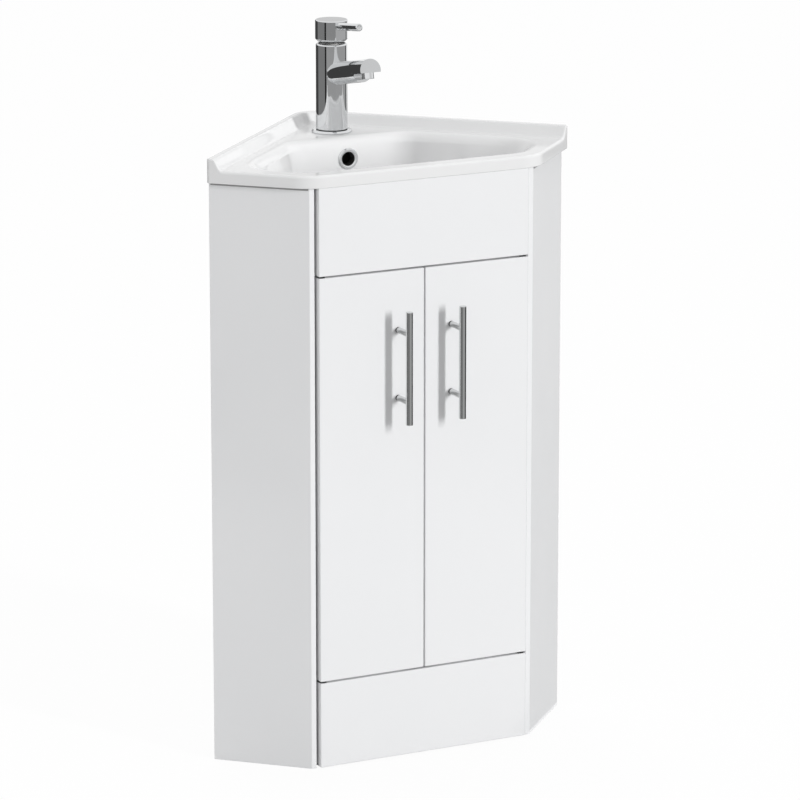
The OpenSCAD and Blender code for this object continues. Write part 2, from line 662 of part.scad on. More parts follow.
// trap
module turned(pts) translate([0, trap_y, 0]) rotate_extrude() polygon(pts);
module trap_nut() color("whitesmoke") turned([[tail_r + fit, trap_z1 + fit], [trap_neck_r + 6, trap_z1 + fit],
    [trap_neck_r + 6, trap_z1 + trap_nut_h - 3], [trap_neck_r + 4, trap_z1 + trap_nut_h],
    [tail_r + fit, trap_z1 + trap_nut_h]]);
module trap_body() color("white") difference() {
    union() {
        turned([[0, trap_z0 + cup_h - cup_overlap], [trap_d / 2 - trap_wall, trap_z0 + cup_h - cup_overlap],
            [trap_d / 2 - trap_wall, trap_z0 + cup_h], [trap_d / 2, trap_z0 + cup_h],
            [trap_d / 2, trap_z1 - 8], [trap_neck_r + 3, trap_z1], [0, trap_z1]]);
        along_y(0, trap_y, trap_y + trap_d / 2 + socket_len, outlet_z, outlet_r + 3);
    }
    difference() {
        turned([[0, trap_z0 + cup_h - cup_overlap - 1], [trap_d / 2 - 2 * trap_wall, trap_z0 + cup_h - cup_overlap - 1],
            [trap_d / 2 - 2 * trap_wall, trap_z1 - 10], [trap_neck_r, trap_z1 - trap_wall], [0, trap_z1 - trap_wall]]);
        upright(0, trap_y, trap_z0 + cup_h - cup_overlap - 2, trap_z1, 15 + trap_wall);
    }
    upright(0, trap_y, trap_z0, trap_z1 + 1, 15);
    along_y(0, trap_y + 15 + trap_wall, trap_y + trap_d, outlet_z, outlet_r - 3);
    along_y(0, trap_y + trap_d / 2 + 2, trap_y + big, outlet_z, outlet_r + fit);
}
module trap_cup() color("white") turned([[0, trap_z0], [trap_d / 2 - 6, trap_z0], [trap_d / 2 + 1, trap_z0 + 8],
    [trap_d / 2 + 1, trap_z0 + cup_h - fit], [trap_d / 2 - trap_wall + fit, trap_z0 + cup_h - fit],
    [trap_d / 2 - trap_wall + fit, trap_z0 + cup_h - cup_overlap - fit],
    [trap_d / 2 - 2 * trap_wall, trap_z0 + cup_h - cup_overlap - fit],
    [trap_d / 2 - 2 * trap_wall, trap_z0 + 8], [0, trap_z0 + 3]]);
module outlet_nut() color("whitesmoke") translate([0, trap_y + trap_d / 2 + socket_len + fit, outlet_z])
    rotate([-90, 0, 0]) rotate_extrude() polygon([[outlet_r + fit, 0], [outlet_r + 8, 0], [outlet_r + 8, 15],
        [outlet_r + 5, 18], [outlet_r + fit, 18]]);
module outlet_pipe() color("white") difference() {
    along_y(0, trap_y + trap_d / 2 + 2 + touch, trap_y + outlet_len, outlet_z, outlet_r);
    along_y(0, trap_y, trap_y + outlet_len + 1, outlet_z, outlet_r - 2);
}

// tap
module at_tap() translate([0, tap_y, 0]) children();
module on_spout() at_tap() translate([0, 0, ring_z1 + spout_z]) rotate([90 - spout_rise, 0, 0]) children();
module tap_base_ring() color("silver") at_tap() translate([0, 0, deck_z]) rotate_extrude()
    polygon([[tap_hole / 2 - 1, 0], [ring_d / 2, 0], [ring_d / 2, ring_t - 2], [ring_d / 2 - 2, ring_t],
        [tap_hole / 2 - 1, ring_t]]);
module tap_column() color("silver") difference() {
    at_tap() translate([0, 0, ring_z1]) rotate_extrude() polygon([[0, 0], [column_r, 0], [column_r, column_h - 1.6],
        [column_r - 1.6, column_h], [0, column_h]]);
    at_tap() upright(0, 0, column_z1 - mouth_depth, column_z1 + 1, mouth_r);
    at_tap() upright(0, 0, cart_z0, column_z1, cart_r + fit);
    at_tap() for (s = [-1, 1]) {
        upright(s * port_x, port_y, ring_z1 - 1, ring_z1 + port_len, port_r);
        upright(s * port_x, port_y, ring_z1, cart_z0 + 1, 3);
    }
    at_tap() upright(0, stud_y, ring_z1 - 1, ring_z1 + stud_in, stud_r + fit);
    at_tap() upright(0, port_y, ring_z1 + spout_z - 2, cart_z0 + 1, 3);
    on_spout() translate([0, 0, column_r - spigot_in]) cylinder(h = big, r = spigot_r + fit);
    on_spout() translate([0, 0, 2]) cylinder(h = column_r, r = 4);
}
module spout() color("silver") difference() {
    union() {
        on_spout() translate([0, 0, column_r - spigot_in + touch]) cylinder(h = 20, r = spigot_r);
        difference() {
            on_spout() cylinder(h = spout_len, r = spout_r);
            at_tap() upright(0, 0, ring_z1 - 1, column_z1 + 1, column_r + fit);
            at_tap() box(-big, big, 0, big, 0, 2 * big);
        }
    }
    on_spout() difference() {
        translate([-big / 2, -big - flat_drop, spout_len - spout_flat]) cube([big, big, big]);
        difference() {
            translate([-big, -flat_drop - cove_r, spout_len - spout_flat - 1]) cube([2 * big, cove_r + 1, cove_r + 1]);
            translate([-big, -flat_drop - cove_r, spout_len - spout_flat + cove_r]) rotate([0, 90, 0])
                cylinder(h = 2 * big, r = cove_r);
        }
    }
    on_spout() translate([0, 0, -1]) cylinder(h = spout_len - 5, r = spout_bore);
    on_spout() translate([0, 0, spout_len - nozzle_back]) rotate([90, 0, 0])
        cylinder(h = big, r = nozzle_d / 2 - 1 + fit);
}
module nozzle() color("gainsboro") on_spout() translate([0, -flat_drop, spout_len - nozzle_back]) rotate([90, 0, 0])
    difference() {
        union() {
            cylinder(h = nozzle_h, r = nozzle_d / 2);
            translate([0, 0, -3]) cylinder(h = 4, r = nozzle_d / 2 - 1);
        }
        translate([0, 0, -4]) cylinder(h = nozzle_h + 5, r = nozzle_d / 2 - 2.6);
    }
module cartridge() color("ivory") at_tap() difference() {
    upright(0, 0, cart_z0 + touch, cart_z1, cart_r);
    upright(0, 0, cart_z1 - turret_in, cart_z1 + 1, turret_r + 2 + fit);
    upright(0, 0, cart_z0, cart_z1, 3);
}
module cartridge_nut() color("gold") at_tap() difference() {
    upright(0, 0, cart_z1 + fit, cart_z1 + 4, mouth_r - fit);
    upright(0, 0, cart_z1 - 1, cart_z1 + 5, turret_r + fit);
}
module tap_turret() color("dimgray") at_tap() difference() {
    union() {
        upright(0, 0, cart_z1 - turret_in + touch, cart_z1 - touch, turret_r + 2);
        upright(0, 0, cart_z1 - turret_in + touch, tilt_z + 5, turret_r);
    }
    mirror_x() box(tongue_half, turret_r + 1, -turret_r - 1, turret_r + 1, tilt_z - 8, tilt_z + 6);
    translate([-turret_r, 0, tilt_z]) rotate([0, 90, 0]) cylinder(h = 2 * turret_r, r = tilt_pin_r + fit);
}
module head_shell() rotate_extrude() polygon([[0, head_z1 - 4], [head_r - 3.2, head_z1 - 4],
    [head_r - 3.2, head_z0 + head_chamfer + 2], [head_r - head_chamfer - 2.4, head_z0],
    [head_r - head_chamfer, head_z0], [head_r, head_z0 + head_chamfer], [head_r, head_z1 - 1],
    [head_r - 1, head_z1], [0, head_z1]]);
module lever_axis() at_tap() translate([0, 0, lever_z]) rotate([90 - lever_rise, 0, 0]) children();
module tap_head() color("silver") {
    difference() {
        union() {
            at_tap() head_shell();
            at_tap() intersection() {
                mirror_x() box(ear_in, ear_in + ear_t, -6, 6, tilt_z - 5, head_z1 - 3);
                upright(0, 0, head_z0, head_z1 - 2, head_r - 3);
            }
        }
        lever_axis() translate([0, 0, head_r - 8]) cylinder(h = big, r = lever_r - 2 + fit);
        tilt_axis(tilt_pin_r + fit, ear_in + ear_t + 1);
    }
}
module tilt_axis(r, half) at_tap() translate([-half, 0, tilt_z]) rotate([0, 90, 0]) cylinder(h = 2 * half, r = r);
module tilt_pin() color("silver") tilt_axis(tilt_pin_r, ear_in + ear_t);
module tap_lever() color("silver") difference() {
    union() {
        lever_axis() translate([0, 0, head_r - 3.6]) cylinder(h = 8, r = lever_r - 2);
        difference() {
            lever_axis() cylinder(h = head_r + lever_len, r = lever_r);
            at_tap() upright(0, 0, head_z0, head_z1 + 20, head_r + fit);
        }
    }
    lever_axis() translate([0, 0, head_r + lever_len - 1]) difference() {
        cylinder(h = 2, r = lever_r + 1);
        translate([0, 0, -1]) cylinder(h = 4, r1 = lever_r + 0.4, r2 = lever_r - 3.6);
    }
}
module clamp_shape(z0, z1) at_tap() difference() {
    upright(0, 0, z0, z1, washer_d / 2);
    box(-clamp_slot / 2, clamp_slot / 2, -washer_d, port_y + port_r + 1, z0 - 1, z1 + 1);
    upright(0, stud_y, z0 - 1, z1 + 1, stud_r + fit);
}
module tap_washer() color("dimgray") clamp_shape(cabinet_h - washer_t, cabinet_h);
module tap_clamp() color("silver") clamp_shape(cabinet_h - 2 * washer_t, cabinet_h - washer_t);
module tap_stud() color("gold") at_tap() {
    upright(0, stud_y, cabinet_h - stud_below, ring_z1 + stud_in - touch, stud_r);
    translate([0, stud_y, cabinet_h - 2 * washer_t - 7]) cylinder(h = 7, r = 7.5, $fn = 6);
}

module placed() translate([0, -mid_y, 0]) children();
placed() left_side_panel();
placed() right_side_panel();
placed() left_stile();
placed() right_stile();
placed() corner_blocks();
placed() base_panel();
placed() plinth_panel();
placed() fascia_panel();
placed() front_rail();
placed() left_top_rail();
placed() right_top_rail();
placed() bottom_rails();
placed() corner_post();
placed() rail_dowels();
placed() shelf();
placed() shelf_pins();
placed() angle_brackets();
placed() fascia_screws();
placed() door_stop();
placed() door_bumpers();
placed() magnetic_catch();
placed() left_pivots();
placed() right_pivots();
placed() left_door();
placed() right_door();
placed() left_door_bushes();
placed() right_door_bushes();
placed() left_handle_bar();
placed() right_handle_bar();
placed() left_handle_posts();
placed() right_handle_posts();
placed() left_handle_screws();
placed() right_handle_screws();
placed() left_strike();
placed() right_strike();
placed() basin();
placed() overflow_duct();
placed() overflow_ring();
placed() waste_body();
placed() waste_seal();
placed() waste_backnut();
placed() waste_plug();
placed() trap_nut();
placed() trap_body();
placed() trap_cup();
placed() outlet_nut();
placed() outlet_pipe();
placed() tap_base_ring();
placed() tap_column();
placed() spout();
placed() nozzle();
placed() cartridge();
placed() cartridge_nut();
placed() tap_turret();
placed() tilt_pin();
placed() tap_head();
placed() tap_lever();
placed() tap_washer();
placed() tap_clamp();
placed() tap_stud();
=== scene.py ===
# %% [markdown]
# # A white corner vanity unit
# The unit stands in the corner of a room: a five-sided cabinet with two doors, a white basin with an upstand
# along each wall, and a lever tap. The imported CAD model is the frame. It gives every size and place. This
# script gives each piece that shows its finished form, its edges and its finish. A box with perfectly sharp
# edges never looks real, because a real edge is always a little round and catches a thin line of light, so
# nearly every piece here is about its edges.

# %% The frame and the sizes read from it
import json
import math

import bmesh
import bpy
from mathutils import Matrix, Vector


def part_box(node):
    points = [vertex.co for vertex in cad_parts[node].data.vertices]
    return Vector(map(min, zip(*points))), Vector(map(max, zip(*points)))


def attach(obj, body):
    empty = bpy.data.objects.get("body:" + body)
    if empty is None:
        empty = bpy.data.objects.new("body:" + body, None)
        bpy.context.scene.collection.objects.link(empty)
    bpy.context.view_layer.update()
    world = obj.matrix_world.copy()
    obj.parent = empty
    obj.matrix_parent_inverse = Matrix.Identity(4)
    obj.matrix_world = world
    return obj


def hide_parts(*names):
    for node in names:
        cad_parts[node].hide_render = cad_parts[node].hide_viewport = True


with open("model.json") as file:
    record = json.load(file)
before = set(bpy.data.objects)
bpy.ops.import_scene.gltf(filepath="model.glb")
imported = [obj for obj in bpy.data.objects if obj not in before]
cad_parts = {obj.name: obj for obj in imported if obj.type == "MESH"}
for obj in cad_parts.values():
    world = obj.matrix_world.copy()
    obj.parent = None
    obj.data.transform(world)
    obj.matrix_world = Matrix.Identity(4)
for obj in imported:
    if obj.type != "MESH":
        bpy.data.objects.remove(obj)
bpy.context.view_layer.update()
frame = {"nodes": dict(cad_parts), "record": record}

MM = 0.001
front_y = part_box("left_side_panel")[0].y  # front edges of the side panels: y = 0 in the notes below
corner_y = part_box("corner_post")[1].y  # the corner of the room
wall_reach = corner_y - front_y  # from those front edges to the corner
rim_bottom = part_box("left_side_panel")[1].z  # the basin rests here
deck_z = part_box("tap_base_ring")[0].z  # the basin's flat top
upstand_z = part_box("basin")[1].z
print("from the front edges to the corner:", round(wall_reach, 4), "m, deck at", round(deck_z, 4), "m")

# %% [markdown]
# ## Making a mesh into a piece
# Each piece is built in a bmesh, at its real place in the frame, so its object can stay at the origin.
# The helper below does what every piece needs at the end: it turns the faces outwards, shades the
# surface smooth except at real corners, gives it its finish, and lets it ride on its body. Weighted
# normals let the large faces rule the shading: without them a flat door would look like a cushion.

# %% Piece helpers
def new_object(name, bm):
    """The bmesh as an object of the scene."""
    mesh = bpy.data.meshes.new(name)
    bm.to_mesh(mesh)
    bm.free()
    thing = bpy.data.objects.new(name, mesh)
    bpy.context.collection.objects.link(thing)
    return thing


def shade(mesh, crease):
    """Smooth, except at edges sharper than crease degrees."""
    mesh.shade_smooth()
    mesh.set_sharp_from_angle(angle=math.radians(crease))


def finish_piece(name, bm, slot, replaces=(), body="cabinet", material=None, crease=35.0):
    """The bmesh as an object that rides on a body, stands for CAD nodes and has its slot's finish."""
    bmesh.ops.recalc_face_normals(bm, faces=bm.faces)
    piece = new_object(name, bm)
    piece.data.materials.append(material or finish_of[slot])
    shade(piece.data, crease)
    weighted = piece.modifiers.new("weighted_normals", "WEIGHTED_NORMAL")
    weighted.keep_sharp = True
    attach(piece, body)
    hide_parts(*replaces)
    print(name, "has", len(piece.data.polygons), "faces")
    return piece


def radius_of(node):
    """Half the width of a CAD node, in mm."""
    return (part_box(node)[1].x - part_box(node)[0].x) / 2 / MM


def height_of(node):
    return (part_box(node)[1].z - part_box(node)[0].z) / MM


# %% [markdown]
# ## Finishes
# The photograph holds only whites and greys, so the finishes differ in what they do with light: lacquer
# and glaze are white under a clear gloss, chrome is a mirror, the handles are brushed, and the inside is
# plain faced board. Each one is a small node tree on Object coordinates, in metres. Noise moves the
# colour by a hair, the roughness a little more, and a bump makes the surface finely uneven. A flat
# colour would be quicker, but a gloss surface would then not look like a real one.

# %% Finish helpers
def grey(value):
    return (value, value, value)


def shader_of(material):
    return material.node_tree.nodes["Principled BSDF"]


def new_finish(name, color, roughness, metallic=0.0, **sockets):
    """A material with a Principled shader."""
    material = bpy.data.materials.new(name)
    material.use_nodes = True
    inputs = shader_of(material).inputs
    inputs["Base Color"].default_value = (*color, 1.0)
    inputs["Roughness"].default_value = roughness
    inputs["Metallic"].default_value = metallic
    for socket, value in sockets.items():
        inputs[socket.replace("_", " ")].default_value = value
    print("finish", name, "roughness", roughness)
    return material


def new_node(owner, kind):
    """A new shader node of a material or world."""
    return owner.node_tree.nodes.new("ShaderNode" + kind)


def join(source, target):
    """Link two sockets."""
    target.id_data.links.new(source, target)


def noise(material, size, stretch=(1, 1, 1), detail=2.0):
    """A noise texture whose lumps are about size metres wide, in Object coordinates."""
    mapping, texture = new_node(material, "Mapping"), new_node(material, "TexNoise")
    mapping.inputs["Scale"].default_value = stretch
    texture.inputs["Scale"].default_value = 1.0 / size
    texture.inputs["Detail"].default_value = detail
    join(new_node(material, "TexCoord").outputs["Object"], mapping.inputs["Vector"])
    join(mapping.outputs["Vector"], texture.inputs["Vector"])
    return texture.outputs[0]


noise_low, noise_high = 0.3, 0.7  # nearly all of a noise lies between these


def color_from(material, source, dark, light):
    """A value runs the base colour from dark to light."""
    ramp = new_node(material, "ValToRGB")
    for end, at, color in zip(ramp.color_ramp.elements, (noise_low, noise_high), (dark, light)):
        end.position, end.color = at, (*color, 1.0)
    join(source, ramp.inputs["Fac"])
    join(ramp.outputs["Color"], shader_of(material).inputs["Base Color"])


def vary_color(material, size, dark, light, **look):
    color_from(material, noise(material, size, **look), dark, light)


def vary_roughness(material, size, low, high, **look):
    span = new_node(material, "MapRange")
    for socket, value in zip(("From Min", "From Max", "To Min", "To Max"), (noise_low, noise_high, low, high)):
        span.inputs[socket].default_value = value
    join(noise(material, size, **look), span.inputs["Value"])
    join(span.outputs["Result"], shader_of(material).inputs["Roughness"])


def add_bump(material, size, height, **look):
    """A noise as a relief, height metres from low to high."""
    bump = new_node(material, "Bump")
    bump.inputs["Strength"].default_value = 1.0
    bump.inputs["Distance"].default_value = height
    join(noise(material, size, **look), bump.inputs["Height"])
    join(bump.outputs["Normal"], shader_of(material).inputs["Normal"])


# %% [markdown]
# ### White lacquer, faced board and bare wood
# The fronts and the side panels are sprayed with white gloss lacquer. Sprayed lacquer flows out almost
# flat and keeps a faint orange peel, a relief of a few thousandths of a millimetre with lumps a few
# millimetres wide. The boards inside are faced with a satin white film over chipboard, which shows as a
# fine tooth. Dowels and glue blocks are bare beech: its grain is noise stretched along the piece.

# %% Board finishes
lacquer = new_finish("white_gloss_lacquer", (0.87, 0.875, 0.885), 0.16)
vary_color(lacquer, 0.25, (0.862, 0.868, 0.878), (0.878, 0.883, 0.892))
vary_roughness(lacquer, 0.06, 0.13, 0.2)
add_bump(lacquer, 0.004, 0.00002)

faced_board = new_finish("satin_faced_board", (0.8, 0.8, 0.795), 0.42)
vary_color(faced_board, 0.1, (0.785, 0.785, 0.78), (0.815, 0.815, 0.81), detail=4)
vary_roughness(faced_board, 0.02, 0.36, 0.5)
add_bump(faced_board, 0.0008, 0.00004, detail=3)

beech = new_finish("bare_beech", (0.6, 0.42, 0.25), 0.6)
vary_color(beech, 0.004, (0.52, 0.35, 0.2), (0.68, 0.5, 0.32), stretch=(1, 1, 0.05), detail=6)
add_bump(beech, 0.0015, 0.00008, stretch=(1, 1, 0.04), detail=4)

# %% [markdown]
# ### Glaze
# The basin is white ware under a thick clear glaze. Glaze pools and never lies quite level, so the relief
# is broad and shallow, and the reflections bend slowly over it. The colour is a little fuller than the
# lacquer's, because the light also goes some way into the glaze.

# %% Glaze
glaze = new_finish("white_glaze", (0.84, 0.842, 0.845), 0.07)
vary_color(glaze, 0.18, (0.832, 0.834, 0.838), (0.848, 0.85, 0.852))
vary_roughness(glaze, 0.05, 0.05, 0.1)
add_bump(glaze, 0.05, 0.00015, detail=1)

# %% [markdown]
# ### Metals
# Chrome plate is nearly a perfect mirror, so its look is what it reflects; a faint film of wiping marks
# in the roughness is all it needs. The handle bars are bright steel, ground round and round and then
# polished: noise that is squeezed along the bar gives the last trace of the rings. Zinc plate on the
# hidden fittings is dull and cloudy, and the turned brass has soft tool rings.

# %% Metals
chrome = new_finish("polished_chrome", (0.7, 0.71, 0.715), 0.04, metallic=1.0)
vary_color(chrome, 0.03, (0.69, 0.7, 0.705), (0.71, 0.72, 0.73))
vary_roughness(chrome, 0.012, 0.025, 0.06, detail=3)

bright_steel = new_finish("bright_steel", (0.66, 0.67, 0.67), 0.07, metallic=1.0)
vary_color(bright_steel, 0.004, (0.64, 0.65, 0.65), (0.68, 0.69, 0.69), stretch=(1, 1, 30), detail=3)
vary_roughness(bright_steel, 0.01, 0.05, 0.1, detail=3)

zinc_plate = new_finish("zinc_plate", (0.6, 0.61, 0.62), 0.38, metallic=1.0)
vary_color(zinc_plate, 0.006, (0.54, 0.55, 0.56), (0.66, 0.67, 0.68), detail=4)
vary_roughness(zinc_plate, 0.004, 0.3, 0.48)

turned_brass = new_finish("turned_brass", (0.72, 0.53, 0.24), 0.3, metallic=1.0)
vary_color(turned_brass, 0.01, (0.66, 0.48, 0.21), (0.76, 0.57, 0.28))
add_bump(turned_brass, 0.003, 0.00002, stretch=(1, 1, 12))

# %% [markdown]
# ### Plastic and rubber
# The trap is moulded plastic with a fine spark-eroded grain from its mould. Seals are matt rubber, black or,
# under the rim of the basin, grey; the grey strips under the rim are painted shadow. The bushes of the door
# pivots are black nylon, and their black is also painted shade: their flanges show in the gaps above and below
# the doors, where the photograph has an even dark line of shade. The door buffers are soft clear pads, which
# pass part of the light.

# %% Plastic and rubber
moulded_plastic = new_finish("moulded_white_plastic", (0.8, 0.8, 0.79), 0.36)
vary_color(moulded_plastic, 0.05, (0.78, 0.78, 0.77), (0.82, 0.82, 0.81))
add_bump(moulded_plastic, 0.0006, 0.00003, detail=3)

black_rubber = new_finish("black_rubber", grey(0.03), 0.65)
vary_color(black_rubber, 0.004, grey(0.02), grey(0.045))
add_bump(black_rubber, 0.001, 0.00005)

# Painted shadow: the grey of the strips under the rim, which draw the rim's shadow line.
painted_shadow_grey = new_finish("painted_shadow_grey", grey(0.3), 0.5)
vary_roughness(painted_shadow_grey, 0.004, 0.45, 0.6)
add_bump(painted_shadow_grey, 0.001, 0.00002)

# Black nylon for the door bushes; its black is also painted shade in the door gaps.
black_nylon_and_painted_shade = new_finish("black_nylon_and_painted_shade", grey(0.025), 0.4)
vary_roughness(black_nylon_and_painted_shade, 0.002, 0.35, 0.5)
add_bump(black_nylon_and_painted_shade, 0.0008, 0.00002)

clear_pad = new_finish("clear_soft_pad", grey(0.9), 0.25, Transmission_Weight=0.7, IOR=1.45)
vary_roughness(clear_pad, 0.002, 0.2, 0.35)

finish_of = {
    "lacquer": lacquer, "carcass": faced_board, "timber": beech, "basin": glaze, "chrome": chrome,
    "steel": zinc_plate, "brass": turned_brass, "white_plastic": moulded_plastic,
    "clear_pad": clear_pad, "rubber": black_rubber,
}

# %% [markdown]
# ## The CAD pieces that stay
# The carcass, the fittings and the plumbing already have their real shape in the frame. They only need
# their finish and softened edges. Their meshes may not change, but modifiers may sit on top: Weld joins
# the loose triangles and Bevel then rounds every true edge by a fraction of a millimetre.

# %% Dress the CAD nodes
edge_round = {"carcass": 0.6 * MM, "timber": 0.8 * MM, "white_plastic": 0.6 * MM, "steel": 0.25 * MM,
              "brass": 0.3 * MM, "rubber": 0.3 * MM, "clear_pad": 0.4 * MM, "basin": 1.0 * MM}
slot_of = {part["node"]: part["material_slot"] for part in frame["record"]["subparts"]}
# the bushes' black stands partly for the shade in the door gaps
own_finish = {"left_door_bushes": black_nylon_and_painted_shade, "right_door_bushes": black_nylon_and_painted_shade}
for name, node in frame["nodes"].items():
    slot = slot_of[name]
    node.data.materials.clear()
    node.data.materials.append(own_finish.get(name, finish_of[slot]))
    if slot in edge_round:
        weld = node.modifiers.new("weld", "WELD")
        weld.merge_threshold = 0.002 * MM
        bevel = node.modifiers.new("edges", "BEVEL")
        bevel.width = edge_round[slot]
        bevel.segments = 2
        bevel.limit_method = "ANGLE"
        bevel.angle_limit = math.radians(40)
        bevel.harden_normals = True
print(len(frame["nodes"]), "CAD nodes dressed")

# %% [markdown]
# ## Boards
# Doors, fascia and plinth are flat boards. A board starts as one face, its outline, which is extruded
# through its length, and then its edges are bevelled. The lacquered fronts have an edge radius of about
# 1.2 mm, which draws the fine light line beside each dark slot. Scaling a cube would give the same box
# but no control over which edges are round.

# %% Board helpers
def round_edges(bm, width, segments, angle):
    """Bevel every edge that is sharper than an angle in degrees."""
    bmesh.ops.recalc_face_normals(bm, faces=bm.faces)
    sharp = [e for e in bm.edges if e.is_manifold and e.calc_face_angle(0) > math.radians(angle)]
    bmesh.ops.bevel(bm, geom=sharp, offset=width, offset_type="OFFSET", segments=segments, profile=0.5,
                    affect="EDGES", material=-1, clamp_overlap=True)


def board(name, outline, z0, z1, edge, slot, **piece):
    """A board that stands upright: the outline in plan, extruded from z0 to z1, with rounded edges."""
    bm = bmesh.new()
    base = bm.faces.new([bm.verts.new((p.x, p.y, z0)) for p in outline])
    grown = bmesh.ops.extrude_face_region(bm, geom=[base])
    top = [v for v in grown["geom"] if isinstance(v, bmesh.types.BMVert)]
    bmesh.ops.translate(bm, verts=top, vec=(0, 0, z1 - z0))
    round_edges(bm, edge, 3, 30)
    finish_piece(name, bm, slot, **piece)


# %% The four fronts
front_edge = 1.2 * MM
for node, body in (("fascia_panel", "cabinet"), ("plinth_panel", "cabinet"),
                   ("left_door", "left_door_leaf"), ("right_door", "right_door_leaf")):
    low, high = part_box(node)
    outline = [Vector(p) for p in ((low.x, low.y), (high.x, low.y), (high.x, high.y), (low.x, high.y))]
    board(node + "_lacquered", outline, low.z, high.z, front_edge, "lacquer", replaces=[node], body=body)

# %% [markdown]
# ### Side panels
# Each side panel stands square to its wall. Its front end is cut off parallel to the doors, which leaves
# the narrow strip that shows beside them, and behind the strip a rebate makes room for the door's edge.
# The section is drawn once and extruded, as the real panel is machined: one profile, full height.

# %% Side panels
def plan(x_mm, y_mm):
    """A point of the plan, in millimetres from the middle of the front edges."""
    return Vector((x_mm * MM, front_y + y_mm * MM))


sides = (("left", -1), ("right", 1))
board_t, panel_edge = 16.0, 0.7 * MM
nose = 7.4  # width of the strip that shows
slit = 3.4  # slot between the strip and the doors
front_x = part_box("right_door")[1].x / MM  # outer edge of the doors
corner_x = front_x + slit + nose  # the cabinet's front corner
wall_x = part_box("right_side_panel")[1].x / MM  # where the panel meets the wall
wall_y = wall_x - corner_x
rebate_y = (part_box("left_stile")[0].y - front_y) / MM
inner_line = corner_x - board_t * math.sqrt(2)  # x - y along the panel's inner face
end_step = board_t / math.sqrt(2)  # the wall end is cut square to the faces
panel_section = [(corner_x, 0), (wall_x, wall_y), (wall_x - end_step, wall_y + end_step),
                 (inner_line + rebate_y, rebate_y), (corner_x - nose, rebate_y), (corner_x - nose, 0)]
for side, sign in sides:
    low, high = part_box(side + "_side_panel")
    outline = [plan(sign * x, y) for x, y in panel_section]
    board(side + "_side_lacquered", outline, low.z, high.z, panel_edge, "lacquer",
          replaces=[side + "_side_panel"])

# %% [markdown]
# ### Painted shade strips in the rebates
# In the bottom of each rebate lies a strip of black rubber. It is painted shade: it makes the slot beside the
# doors look as dark as the shade in it, although all the boards round it are white.

# %% Painted shade strips
# the black strips stand for the shade in the slots beside the doors
strip_t, strip_width, strip_gap = 1.0, 3.5, 0.05
strip_out = corner_x - nose - 0.1
strip_in = corner_x - nose - strip_width
strip_front, strip_back = rebate_y - strip_t, rebate_y - strip_gap
for side, sign in sides:
    outline = [plan(sign * x, y) for x, y in ((strip_out, strip_front), (strip_out, strip_back),
                                              (strip_in, strip_back), (strip_in, strip_front))]
    board(side + "_painted_shade_strip", outline, 2 * MM, rim_bottom - 1 * MM, 0.2 * MM, "rubber")

# %% [markdown]
# ### Painted shadow strips under the rim
# A strip of grey rubber fills the joint between each side panel and the underside of the rim. It is painted
# shadow: from above only its lower edge shows, as the dark line of the rim's shadow under the left side of the
# basin.

# %% Painted shadow strips under the rim
shadow_strip_t, shadow_strip_height, shadow_strip_gap = 1.4, 3.3, 0.1
away = shadow_strip_t / math.sqrt(2)  # its thickness, square to the panel
shadow_strip_section = [(corner_x + 1, 1), (wall_x - 2, wall_y - 2), (wall_x - 2 + away, wall_y - 2 - away),
                (corner_x + 1 + away, 1 - away)]
for side, sign in sides:
    outline = [plan(sign * x, y) for x, y in shadow_strip_section]
    board(side + "_rim_painted_shadow_strip", outline, rim_bottom - shadow_strip_height * MM, rim_bottom - shadow_strip_gap * MM, 0.4 * MM,
          "rubber", material=painted_shadow_grey)

# %% [markdown]
# ## Turned pieces
# Handle bars, posts, rings and nearly all of the tap are round. A half section is drawn as a line of
# radius and height, its corners are softened with a vertex bevel, and the line is spun round. Softening
# the line before the spin is simpler than bevelling the finished solid, and every ring comes out even.

# %% Lathe helpers
def placed(spot, angle, axis="X"):
    """A place, turned by an angle in radians about an axis of the frame."""
    return Matrix.Translation(spot) @ Matrix.Rotation(angle, 4, axis)


def turned(profile, soft, place=Matrix(), steps=72):
    """A bmesh: the profile, (radius, height) pairs in mm, softened at its corners and spun round Z."""
    bm = bmesh.new()
    line = [bm.verts.new((radius * MM, 0, height * MM)) for radius, height in profile]
    for pair in zip(line, line[1:]):
        bm.edges.new(pair)
    bmesh.ops.bevel(bm, geom=line[1:-1], offset=soft * MM, offset_type="OFFSET", segments=3, profile=0.5,
                    affect="VERTICES", material=-1, clamp_overlap=True)
    bmesh.ops.spin(bm, geom=bm.verts[:] + bm.edges[:], angle=math.tau, steps=steps, axis=(0, 0, 1),
                   cent=(0, 0, 0), use_merge=True)
    bmesh.ops.remove_doubles(bm, verts=bm.verts, dist=0.002 * MM)
    bmesh.ops.transform(bm, matrix=place, verts=bm.verts)
    return bm


def tube(inner, outer, low, high):
    """The closed half section of a plain ring."""
    return [(inner, low), (outer, low), (outer, high), (inner, high), (inner, low)]


def turned_piece(name, profile, soft, place, *piece, steps=72, **look):
    """A turned form as a piece; what comes after its place goes to finish_piece."""
    finish_piece(name, turned(profile, soft, place, steps), *piece, **look)


def joined(*parts):
    """Several bmeshes in one."""
    whole = bmesh.new()
    for part in parts:
        mesh = bpy.data.meshes.new("part")
        part.to_mesh(mesh)
        part.free()
        whole.from_mesh(mesh)
        bpy.data.meshes.remove(mesh)
    return whole
